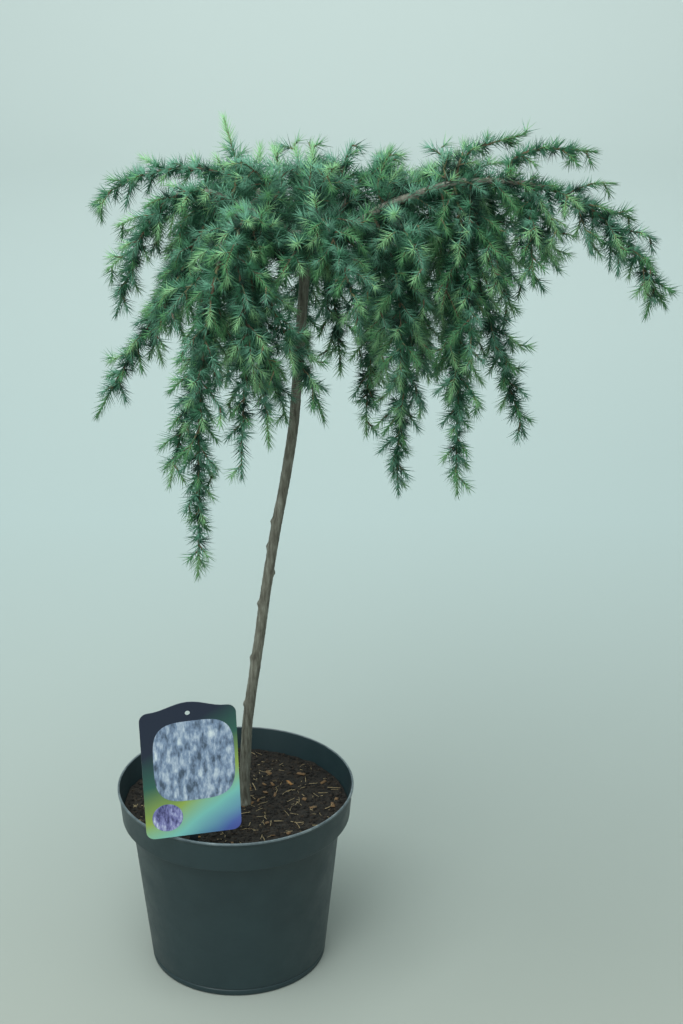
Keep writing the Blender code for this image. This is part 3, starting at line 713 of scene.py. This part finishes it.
def turned(name, profile, finishes, finish_at):
    """A profile that starts and ends on the axis, spun round it. finish_at picks a face's material."""
    shape = bmesh.new()
    corners = [shape.verts.new((radius * MM, 0.0, height * MM)) for radius, height in profile]
    edges = [shape.edges.new(pair) for pair in zip(corners, corners[1:])]
    bmesh.ops.spin(shape, geom=corners + edges, axis=(0, 0, 1), cent=(0, 0, 0), steps=TURNED_SIDES,
                   angle=math.tau, use_duplicate=False)
    bmesh.ops.remove_doubles(shape, verts=shape.verts, dist=0.01 * MM)
    bmesh.ops.recalc_face_normals(shape, faces=shape.faces)
    for face in shape.faces:
        place = face.calc_center_median()
        face.material_index = finish_at(math.hypot(place.x, place.y) / MM, place.z / MM)
    made = object_of(name, shape)
    for finish in finishes:
        made.data.materials.append(finish)
    return made


def build_pot():
    """Body, rim band, small lip, groove above the foot, and drain holes in the floor."""
    groove = FOOT_GROOVE_HEIGHT
    profile = rounded((
        (0, 0), (BASE_RADIUS - EDGE, 0), (outer_wall(EDGE), EDGE),
        (outer_wall(groove - GROOVE_HALF), groove - GROOVE_HALF),
        (outer_wall(groove) - GROOVE_DEPTH, groove),
        (outer_wall(groove + GROOVE_HALF), groove + GROOVE_HALF),
        (BODY_TOP_RADIUS, STEP_HEIGHT - EDGE), (BAND_FOOT_RADIUS, STEP_HEIGHT),
        (RIM_RADIUS - EDGE, RIM_HEIGHT - LIP_HEIGHT - EDGE), (RIM_RADIUS, RIM_HEIGHT - LIP_HEIGHT),
        (RIM_RADIUS, RIM_HEIGHT), (inner_band(RIM_HEIGHT), RIM_HEIGHT),
        (inner_band(STEP_HEIGHT + WALL), STEP_HEIGHT + WALL),
        (BODY_TOP_RADIUS - WALL, STEP_HEIGHT + WALL / 3), (BASE_RADIUS - WALL, FLOOR), (0, FLOOR),
    ), CORNER_ROUND)

    # Faces along the rim's top and its outer edge take the lip's painted highlight.
    def finish_at(radius, height):
        down = RIM_HEIGHT - height
        return int(down < HIGHLIGHT_INSIDE or down < HIGHLIGHT_OUTSIDE and radius > RIM_RADIUS - HIGHLIGHT_DEPTH)

    pot = turned("nursery_pot", profile, (pot_material(), lip_highlight_material()), finish_at)
    for hole in range(DRAIN_HOLES):
        turn = math.tau * (hole + 0.5) / DRAIN_HOLES
        place = Matrix.Translation((*polar(DRAIN_CIRCLE * MM, turn), 0))
        cut(pot, drill(DRAIN_RADIUS, 4 * FLOOR, DRAIN_SIDES, place))
    pot.data.shade_smooth()
    pot.data.set_sharp_from_angle(angle=SHARP_ANGLE)
    place_piece(pot, "pot_plastic", "pot")


# Soil

def soil_height(x, y):
    """The compost's surface: clods of several sizes, level where the trunk stands."""
    away = math.hypot(x - TRUNK_COURSE[0][0], y)
    height = 0.0
    for number, (scale, relief) in enumerate(CLODS):
        height += relief * noise.noise(Vector((x / scale, y / scale, CLOD_PATTERN + number)))
    return SOIL_HEIGHT + height * min(1.0, LEVEL_SHARE + away / LEVEL_REACH)


def build_soil():
    """The compost's surface and side, and the crumbs, straw and chips on it."""
    turns = np.arange(SOIL_SIDES) * math.tau / SOIL_SIDES
    under = STEP_HEIGHT + WALL + GAP
    points = [(0.0, 0.0, soil_height(0.0, 0.0))]
    for ring in range(1, SOIL_RINGS + 1):
        radius = SOIL_RADIUS * ring / SOIL_RINGS
        for turn in turns:
            x, y = polar(radius, turn)
            points.append((x, y, soil_height(x, y)))
    points += [(*polar(SOIL_RADIUS, turn), under) for turn in turns]
    points.append((0.0, 0.0, under))
    faces = []
    last = 1 + SOIL_RINGS * SOIL_SIDES
    for side in range(SOIL_SIDES):
        following = (side + 1) % SOIL_SIDES
        faces.append((0, 1 + side, 1 + following))
        for ring in range(SOIL_RINGS):
            a, b = 1 + ring * SOIL_SIDES + side, 1 + ring * SOIL_SIDES + following
            faces += [(a, a + SOIL_SIDES, b + SOIL_SIDES), (a, b + SOIL_SIDES, b)]
        faces.append((last + following, last + side, len(points) - 1))
    place_piece(mesh_from("compost", points, faces, (soil_material(),)), "compost", "soil")
    place_piece(litter(), "compost")


def litter():
    """Crumbs, straws and chips, each a few faces, strewn by a seeded rule."""
    rng = random.Random(LITTER_SEED)
    strewn = Gathered()

    def spot(edge):
        turn = rng.uniform(0, math.tau)
        x, y = polar((SOIL_RADIUS - edge) * math.sqrt(rng.random()), turn)
        return np.array((x, y, soil_height(x, y)))

    def jitter(least, most, corners):
        return np.array([[rng.uniform(least, most) for _axis in range(3)] for _corner in range(corners)])

    octahedron = np.array(((1, 0, 0), (0, 1, 0), (-1, 0, 0), (0, -1, 0), (0, 0, 1), (0, 0, -1)), float)
    sides = [(0, 1, 4), (1, 2, 4), (2, 3, 4), (3, 0, 4), (1, 0, 5), (2, 1, 5), (3, 2, 5), (0, 3, 5)]
    for _crumb in range(CRUMBS):
        size = CRUMB_SIZES[0] + CRUMB_SIZES[1] * rng.random() ** 3
        points = octahedron * jitter(0.6, 1.3, 6) * size * (1, 1, 0.75) + spot(3) + (0, 0, size * 0.15)
        strewn.add(points, sides, 0 if rng.random() < BLACK_CRUMBS else 1)
    for _straw in range(STRAWS):
        length = STRAW_LENGTHS[0] + STRAW_LENGTHS[1] * rng.random() ** 2
        turn = rng.uniform(0, math.tau)
        along = np.array((*polar(1, turn), rng.uniform(-0.1, 0.25)))
        bend = np.array((-math.sin(turn), math.cos(turn), 0.3)) * rng.uniform(-0.25, 0.25) * length
        t = np.linspace(-0.5, 0.5, 5)[:, None]
        line = spot(9) + (0, 0, 0.8) + along * t * length + bend * (0.25 - t ** 2) * 2
        strewn.add(*tube(line, np.full(5, rng.uniform(*STRAW_RADII)), 4), 2)
    box = np.array([(x, y, z) for x in (-1, 1) for y in (-1, 1) for z in (-1, 1)], float)
    box_sides = [(0, 1, 3), (0, 3, 2), (4, 6, 7), (4, 7, 5), (0, 4, 5), (0, 5, 1), (2, 3, 7), (2, 7, 6),
                 (0, 2, 6), (0, 6, 4), (1, 5, 7), (1, 7, 3)]
    for chip in range(CHIPS):
        size = np.array([rng.uniform(*sizes) for sizes in CHIP_SIZES])
        rough = box * jitter(0.75, 1.15, 8) * size
        turn = np.array(Matrix.Rotation(rng.uniform(0, ANY_TURN), 3, "Z")
                        @ Matrix.Rotation(rng.uniform(-0.35, 0.35), 3, "X"))
        points = rough @ turn.T + spot(10) + (0, 0, 0.9)
        strewn.add(points, box_sides, 4 if chip % WOOD_CHIP_EVERY == 0 else 3)
    return strewn.object("compost_litter", plain_materials(LITTER_SHADES, 0.9), smooth=False)


# Trunk and boughs

def bark_point(point, out, girth):
    """How far the bark stands out at a point: long ridges along the limb, and finer wrinkles."""
    share, round_it, across, along = RIDGES
    place = (out[0] * girth * round_it + point[0] * across, out[1] * girth * round_it, point[2] * along)
    relief = share * noise.noise(Vector(place))
    share, round_it, across, along = WRINKLES
    place = (point[0] * across + out[0] * round_it, point[1] * across + out[1] * round_it,
             point[2] * along + WRINKLE_PATTERN)
    relief += share * noise.noise(Vector(place))
    return BARK_RELIEF * relief * min(1.0, girth / FULL_RELIEF_GIRTH)


def rough_limb(line, radii, sides, scars=()):
    """A limb with the relief of its bark, and a swelling at each bud scar."""
    points, faces = tube(line, radii, sides, closing=radii[-1] * TIP_SHARE)
    for place in range(len(line)):
        for corner in range(sides):
            index = place * sides + corner
            out = unit(points[index] - line[place])
            swell = bark_point(points[index], out, radii[place])
            for height, turn in scars:
                away = (math.atan2(out[1], out[0]) - math.radians(turn) + math.pi) % math.tau - math.pi
                near = ((points[index][2] - height) / SCAR_WIDTH) ** 2 + (away / SCAR_TURN) ** 2
                swell += SCAR_HEIGHT * math.exp(-near)
            points[index] += out * swell
    return points, faces


def build_limbs(courses):
    """The trunk and boughs in one mesh, each bough's foot sunk into its parent."""
    wood = Gathered()
    line, radii = trunk_line(TRUNK_RING)
    line[0][2] += GAP
    wood.add(*rough_limb(line, radii, TRUNK_SIDES, BUD_SCARS))
    for row in BOUGHS:
        fine = even(courses[row.name], BOUGH_RING)
        ahead = unit(fine[1] - fine[0])
        sunk = np.vstack((fine[0] - ahead * row.foot, fine))
        radii = np.linspace(row.foot, row.end, len(sunk))
        flare = 1 + FOOT_FLARE * np.exp(-np.arange(len(sunk)) * BOUGH_RING / FLARE_REACH)
        wood.add(*rough_limb(sunk, radii * (flare if row.back else 1), BOUGH_SIDES))
    made = wood.object("trunk_and_boughs", (bark_material(),))
    place_piece(made, "bark", "trunk", *[row.name for row in BOUGHS])


# Foliage

def distances(places, points):
    """How far each place lies from each of the points."""
    squares = (places ** 2).sum(1)[:, None] + (points ** 2).sum(1) - 2 * places @ points.T
    return np.sqrt(np.maximum(squares, 0))


class Space:
    """Which mass each place in the crown belongs to, and how clear it is of the limbs."""

    def __init__(self, stems, limbs):
        rows = [even(line, SAMPLE_STEP) for line in stems]
        ends = np.cumsum([len(row) for row in rows])
        self.points = np.vstack(rows)
        self.spans = [(end - len(row), end) for end, row in zip(ends, rows)]
        self.limbs = np.vstack([line for line, radii in limbs])
        self.girths = np.concatenate([radii for line, radii in limbs])

    def holds(self, places, owner=None, reach=0.0):
        """Which places are clear of the limbs and, for a mass, within its reach and nearest to its stem."""
        kept = []
        for start in range(0, len(places), PLACES_AT_ONCE):
            some = places[start:start + PLACES_AT_ONCE]
            held = (distances(some, self.limbs) - self.girths).min(1) > LIMB_CLEARANCE
            if owner is not None:
                first, last = self.spans[owner]
                far = distances(some, self.points)
                own = far[:, first:last].min(1)
                far[:, first:last] = np.inf
                held &= (own <= reach) & (own - SPACE_OVERLAP < far.min(1))
            kept.append(held)
        return np.concatenate(kept)


def twig_line(foot, leave, length):
    """A twig that leaves its stem straight and droops towards its tip."""
    t = np.linspace(0, 1, TWIG_POINTS)[:, None]
    return foot + leave * length * t - UP * TWIG_DROOP * length * t ** 2


def branch(line, spacing, longest, taper, holds, rng, span=TWIG_SPAN, lift=0.0):
    """Twigs that leave a line at every golden angle, shorter along it, as long as the space allows."""
    course = even(line, FINE_STEP)
    ahead, sides, tops = frames(course)
    count = int(length_of(course) * (span[1] - span[0]) / spacing)
    turn = rng.uniform(0, math.tau)
    twigs = []
    for number in range(count):
        share = span[0] + (number + 0.5) / count * (span[1] - span[0])
        place = int(share * (len(course) - 1))
        turn += GOLDEN_ANGLE
        out = sides[place] * math.cos(turn) + tops[place] * math.sin(turn)
        leave = unit(ahead[place] * math.cos(TWIG_ANGLE) + out * math.sin(TWIG_ANGLE) + UP * lift)
        full = longest * (taper[0] - taper[1] * share) * rng.uniform(*TWIG_VARIETY)
        for shorter in SHORTER_TRIES:
            shoot = twig_line(course[place], leave, full * shorter)
            if full * shorter < SHORTEST_TWIG or length_of(shoot) < SHORTEST_TWIG:
                break
            if holds(shoot[TWIG_FOOT_POINTS:]).all():
                twigs.append(shoot)
                break
    return twigs


def needles_on(line, rng, youngest):
    """Feet, directions, lengths and shades of a shoot's needles, shorter and paler at the crown's edge and
    darker inside it, partly as painted shade.
    """
    total = length_of(line)
    ahead, sides, tops = frames(line)
    marks = np.linspace(0, total, len(line))
    depth = min(1.0, np.linalg.norm((line[-1] - CROWN_MIDDLE) / CROWN_REACH))
    outer = int(depth > OUTER_DEPTH)
    shorter = 1 - OUTER_SHORTER * depth

    def along(runs, turns):
        """Points at some places along the shoot, the way ahead, and the ways out at the turns."""
        foot, forward, side, top = (at_run(runs, marks, rows) for rows in (line, ahead, sides, tops))
        turns = (turns + rng.uniform(0, ANY_TURN))[:, None]
        return foot, units(forward), side * np.cos(turns) + top * np.sin(turns)

    young = min(youngest, total * YOUNG_SHARE)
    runs = np.arange(total - young, total - YOUNG_END, YOUNG_STEP)
    foot, forward, out = along(runs, np.arange(len(runs)) * GOLDEN_ANGLE)
    share = 1 - (total - runs) / young
    lean = YOUNG_LEAN[0] + (YOUNG_LEAN[1] - YOUNG_LEAN[0]) * share ** 2
    lean = lean + rng.uniform(-LEAN_SPREAD, LEAN_SPREAD, len(runs))
    aims = [units(out * np.sin(lean)[:, None] + forward * np.cos(lean)[:, None])]
    size = rng.uniform(*NEEDLE_LENGTHS, len(runs)) * (1 - (1 - TIP_NEEDLE_SHARE) * share ** 2)
    feet, sizes = [foot], [size * shorter]
    # Young shoots inside the crown take darker shades, partly as painted shade.
    kinds, odds = YOUNG_SHADES[outer]
    fresh = rng.choice(kinds, p=odds)
    shades = [np.where(share > DARK_SHARE, fresh, max(1, fresh - 2))]

    places = np.arange(BARE_FOOT, total - young, ROSETTE_STEP)
    if len(places):
        places = np.repeat(places, ROSETTE_NEEDLES)
        spray = np.arange(len(places)) // ROSETTE_NEEDLES
        foot, forward, out = along(places, spray * GOLDEN_ANGLE)
        axis = units(out * math.sin(ROSETTE_LEAN) + forward * math.cos(ROSETTE_LEAN))
        across = units(np.cross(axis, forward))
        other = np.cross(axis, across)
        spin = np.arange(len(places)) * GOLDEN_ANGLE
        spread = rng.uniform(*ROSETTE_SPREAD, len(places))
        fan = across * np.cos(spin)[:, None] + other * np.sin(spin)[:, None]
        aims.append(units(axis * np.cos(spread)[:, None] + fan * np.sin(spread)[:, None]))
        feet.append(foot)
        sizes.append(rng.uniform(*NEEDLE_LENGTHS, len(places)) * shorter)
        # Rosettes inside the crown take the darker shades more often: partly painted shade, partly older
        # needles.
        kinds = rng.choice(ROSETTE_SHADES, p=ROSETTE_WEIGHTS[outer], size=spray[-1] + 1)
        shades.append(kinds[spray])
    return np.vstack(feet), np.vstack(aims), np.concatenate(sizes), np.concatenate(shades)


def spikes(feet, aims, sizes):
    """Slim three-sided needles: points and triangles."""
    side = units(np.cross(aims, OFF_AXIS))
    top = np.cross(aims, side)
    ring = [feet + (side * math.cos(turn) + top * math.sin(turn)) * NEEDLE_RADIUS
            for turn in (0, math.tau / 3, 2 * math.tau / 3)]
    points = np.stack(ring + [feet + aims * sizes[:, None]], axis=1).reshape(-1, 3)
    corners = np.array(((0, 1, 3), (1, 2, 3), (2, 0, 3)))
    faces = (np.arange(len(feet)) * 4)[:, None, None] + corners
    return points, faces.reshape(-1, 3)


def mass_lines(row, stem, holds, rng):
    """The stem of a mass, its twigs and their side twigs, each with its radii."""
    lines = [(stem, STEM_RADII)]
    for twig in branch(stem, TWIG_SPACING, row.reach, TWIG_LENGTHS, holds, rng):
        longest = length_of(twig) * SIDE_TWIG_SHARE
        shoots = branch(twig, SIDE_TWIG_SPACING, longest, SIDE_TWIG_LENGTHS, holds, rng, SIDE_TWIG_SPAN)
        lines += [(shoot, TWIG_RADII) for shoot in (twig, *shoots)]
    return lines


def grow(needles, wood, lines, holds, seed):
    """Adds the wood and needles of some lines. A line without radii is a bough, which has its wood."""
    rng = np.random.default_rng(seed)
    for line, radii in lines:
        youngest = BARE_FOOT
        if radii:
            youngest = YOUNG_LENGTH
            line = shortened(line, TIP_ROOM)
            course = even(line, TWIG_RING)
            wood.add(*tube(course, np.linspace(*radii, len(course)), TWIG_SIDES, closing=radii[1]))
        feet, aims, sizes, shades = needles_on(even(line, FINE_STEP), rng, youngest)
        reaches = aims * sizes[:, None]
        kept = holds(feet + reaches) & holds(feet + reaches * MID_NEEDLE)
        if kept.any():
            needles.add(*spikes(feet[kept], aims[kept], sizes[kept]), np.repeat(shades[kept], 3))


def build_foliage(limbs, courses):
    """The masses and the twigs on the boughs: a piece of needles for each parent, and one of twigs."""
    stems = [limb_line(limbs[row.parent], row, SAMPLE_STEP) for row in MASSES]
    space = Space(stems, limbs.values())
    wood = Gathered()
    needles = {row.parent: Gathered() for row in MASSES}
    for number, (row, stem) in enumerate(zip(MASSES, stems)):
        holds = partial(space.holds, owner=number, reach=row.reach)
        grow(needles[row.parent], wood, mass_lines(row, stem, holds, random.Random(number)), holds, number)
    for number, row in enumerate(BOUGHS, BOUGH_SEED):
        if row.name in needles:
            course = courses[row.name]
            twigs = branch(course, BOUGH_TWIG_SPACING, BOUGH_TWIG_LENGTH, (1.0, 0.0), space.holds,
                           random.Random(number), BOUGH_TWIG_SPAN, BOUGH_TWIG_LIFT)
            lines = [(twig, TWIG_RADII) for twig in twigs] + [(course, None)]
            grow(needles[row.name], wood, lines, space.holds, number)
    finishes = plain_materials(NEEDLE_SHADES, 0.5, Specular_IOR_Level=0.35)
    for parent, gathered in needles.items():
        names = [row.name for row in MASSES if row.parent == parent]
        place_piece(gathered.object("needles_" + parent, finishes), "needles", *names)
    place_piece(wood.object("twigs", (twig_material(),)), "bark")


# Label

def label_outline():
    """The card's outline: round corners, and a low arch along its top."""
    inner = LABEL_WIDTH / 2 - LABEL_CORNER
    outline = []
    for z, first in ((LABEL_CORNER, -90), (LABEL_HEIGHT - LABEL_CORNER, 0)):
        for step in range(7):
            angle = math.radians(first + step * 15)
            outline.append((inner + LABEL_CORNER * math.cos(angle), z + LABEL_CORNER * math.sin(angle)))
    crest = [(x, LABEL_HEIGHT + LABEL_ARCH * math.cos(x / inner * math.pi / 2) ** 2)
             for x in np.linspace(CREST_SHARE, -CREST_SHARE, 13) * inner]
    return outline + crest + [(-x, z) for x, z in reversed(outline)]


def slab(name, outline, front, back, finish):
    """An outline in the XZ plane between two depths."""
    shape = bmesh.new()
    corners = [shape.verts.new((x * MM, front * MM, z * MM)) for x, z in outline]
    face = shape.faces.new(corners)
    grown = bmesh.ops.extrude_face_region(shape, geom=[face])
    for moved in grown["geom"]:
        if isinstance(moved, bmesh.types.BMVert):
            moved.co.y = back * MM
    bmesh.ops.recalc_face_normals(shape, faces=shape.faces)
    made = object_of(name, shape)
    made.data.materials.append(finish)
    return made


def gradient_material():
    """Bands of colour from yellow-green through aqua to violet, falling from the upper left."""
    made = material_of("label_band", (0.2, 0.4, 0.5), 0.28)
    tree = made.node_tree
    axes = axes_of(tree)
    total = None
    for value, slope in zip((axes["Z"], axes["X"], noise_of(tree, 14.0, 2.0)), BAND_SLOPES):
        step = node(tree, "ShaderNodeMath", operation="MULTIPLY_ADD")
        tree.links.new(value, step.inputs[0])
        step.inputs[1].default_value = slope
        step.inputs[2].default_value = BAND_SHIFT
        if total:
            tree.links.new(total, step.inputs[2])
        total = step.outputs[0]
    coloured(tree, total, (
        (0.02, (0.012, 0.020, 0.045)), (0.26, (0.030, 0.12, 0.09)), (0.46, (0.30, 0.42, 0.08)),
        (0.64, (0.20, 0.55, 0.50)), (0.82, (0.09, 0.15, 0.45)), (1.0, (0.13, 0.05, 0.34))))
    return made


def frosted_material(name, scale, low, middle, high):
    """Soft pale streaks over a cooler ground."""
    return patterned(name, middle, 0.3, (scale, 3.0, 0.6, (1.8, 1, 0.7)),
                     ((0.34, low), (0.50, middle), (0.62, high), (0.75, (0.75, 0.82, 0.86))))


def oval(middle, reach, roundness=1.0):
    """An outline round a middle: a circle or, with less roundness, a box with round corners."""
    outline = []
    for turn in np.linspace(0, math.tau, PANEL_SIDES, endpoint=False):
        outline.append([centre + half * math.copysign(abs(part) ** roundness, part)
                        for centre, half, part in zip(middle, reach, polar(1, turn))])
    return outline


def build_label():
    """A card with an eyelet and a tongue, and on its bands of colour a rounded panel and a small inset."""
    half = LABEL_THICKNESS / 2
    card = slab("label_card", label_outline(), -half, half, gradient_material())
    level = Matrix.Rotation(math.pi / 2, 4, "X")
    eyelet = Matrix.Translation((0, 0, (LABEL_HEIGHT - EYELET_DROP) * MM)) @ level
    cut(card, drill(EYELET_RADIUS, 10 * LABEL_THICKNESS, EYELET_SIDES, eyelet))
    front, back = -half - PANEL_PROUD, -half + PANEL_SUNK
    frost = frosted_material("label_frost", 95.0, (0.06, 0.09, 0.14), (0.22, 0.30, 0.45), (0.46, 0.54, 0.66))
    panel = slab("label_panel", oval(PANEL_MIDDLE, PANEL_REACH, PANEL_ROUNDNESS), front, back, frost)
    violet = frosted_material("label_violet", 150.0, (0.05, 0.05, 0.16), (0.2, 0.2, 0.46), (0.42, 0.44, 0.68))
    inset = slab("label_inset", oval(INSET_MIDDLE, (INSET_RADIUS, INSET_RADIUS)), front, back, violet)
    width, shoulder = TONGUE_WIDTH / 2, TONGUE_POINT - TONGUE_LENGTH
    outline = ((-width, TONGUE_POINT), (-width, shoulder), (0, -TONGUE_LENGTH), (width, shoulder),
               (width, TONGUE_POINT))
    tongue = slab("label_tongue", outline, half, half + TONGUE_THICKNESS,
                  material_of("tongue_finish", (0.035, 0.045, 0.06), 0.4))
    for corner in tongue.data.vertices:
        if corner.co.z < 0:
            deep = corner.co.z
            corner.co.z = deep * math.cos(TONGUE_SLANT)
            corner.co.y -= deep * math.sin(TONGUE_SLANT)
    place = (Matrix.Translation([part * MM for part in LABEL_FOOT]) @ Matrix.Rotation(LABEL_TURN, 4, "Z")
             @ Matrix.Rotation(-LABEL_TILT, 4, "Y"))
    for piece in (card, panel, inset, tongue):
        piece.data.transform(place)
    place_piece(card, "label_card", "plant_label")
    for piece in (panel, inset, tongue):
        place_piece(piece, "label_card")


# Stage, lights and camera

def build_stage():
    """A pale floor that curves up into a backdrop, with painted shade darker towards the front and painted
    light paler towards the back.
    """
    finish = material_of("stage_painted_light", (0.45, 0.55, 0.52), 0.95)
    tree = finish.node_tree
    share = node(tree, "ShaderNodeMapRange", **{"From Min": STAGE_FRONT, "From Max": STAGE_BACK})
    tree.links.new(axes_of(tree)["Y"], share.inputs["Value"])
    # Painted light: the floor and backdrop are darker at the front and paler towards the back.
    coloured(tree, share.outputs["Result"], (
        (0.0, (0.32, 0.345, 0.31)), (0.32, (0.42, 0.505, 0.50)), (1.0, (0.53, 0.594, 0.58))))
    bend = [(STAGE_WALL - STAGE_BEND * (1 - math.sin(turn)), STAGE_BEND * (1 - math.cos(turn)))
            for turn in np.linspace(0, math.pi / 2, STAGE_BEND_STEPS)]
    side = STAGE_WIDTH / 2
    points, faces = [], []
    for y, z in [(-side, 0.0)] + bend + [(STAGE_WALL, STAGE_HEIGHT)]:
        points += [(x * METRE, y * METRE, z * METRE) for x in (-side, side)]
    for first in range(0, len(points) - 2, 2):
        faces.append((first, first + 1, first + 3, first + 2))
    floor = mesh_from("floor", points, faces, (finish,))


def build_light():
    """A pale surround, and soft lights above, in front and on the backdrop."""
    world = bpy.data.worlds.new("studio")
    world.use_nodes = True
    back = world.node_tree.nodes["Background"]
    back.inputs["Color"].default_value = (*WORLD_COLOUR, 1.0)
    back.inputs["Strength"].default_value = WORLD_STRENGTH
    bpy.context.scene.world = world
    for name, place, target, size, power, colour in LIGHTS:
        data = bpy.data.lights.new(name, "AREA")
        data.shape = "SQUARE"
        data.size, data.energy, data.color = size, power, colour
        made = linked(name, data)
        made.location = place
        made.rotation_euler = (Vector(target) - Vector(place)).to_track_quat("-Z", "Y").to_euler()


def build_camera():
    """A level camera, and colours shown as they are."""
    data = bpy.data.cameras.new("camera")
    data.sensor_fit = "VERTICAL"
    data.sensor_height = FRAME_HEIGHT
    data.lens = CAMERA_LENS
    made = linked("camera", data)
    made.location = CAMERA_PLACE
    made.rotation_euler = (math.pi / 2 - CAMERA_PITCH, 0.0, 0.0)
    bpy.context.scene.camera = made
    bpy.context.scene.view_settings.view_transform = "Standard"


def build():
    """The whole scene."""
    build_camera()
    build_light()
    build_stage()
    build_pot()
    build_soil()
    build_label()
    limbs = {"trunk": trunk_line(SAMPLE_STEP)}
    courses = {}
    for row in BOUGHS:
        courses[row.name] = limb_line(limbs[row.parent], row, SAMPLE_STEP)
        fine = even(courses[row.name], SAMPLE_STEP)
        limbs[row.name] = (fine, np.linspace(row.foot, row.end, len(fine)))
    build_limbs(courses)
    build_foliage(limbs, courses)


build()
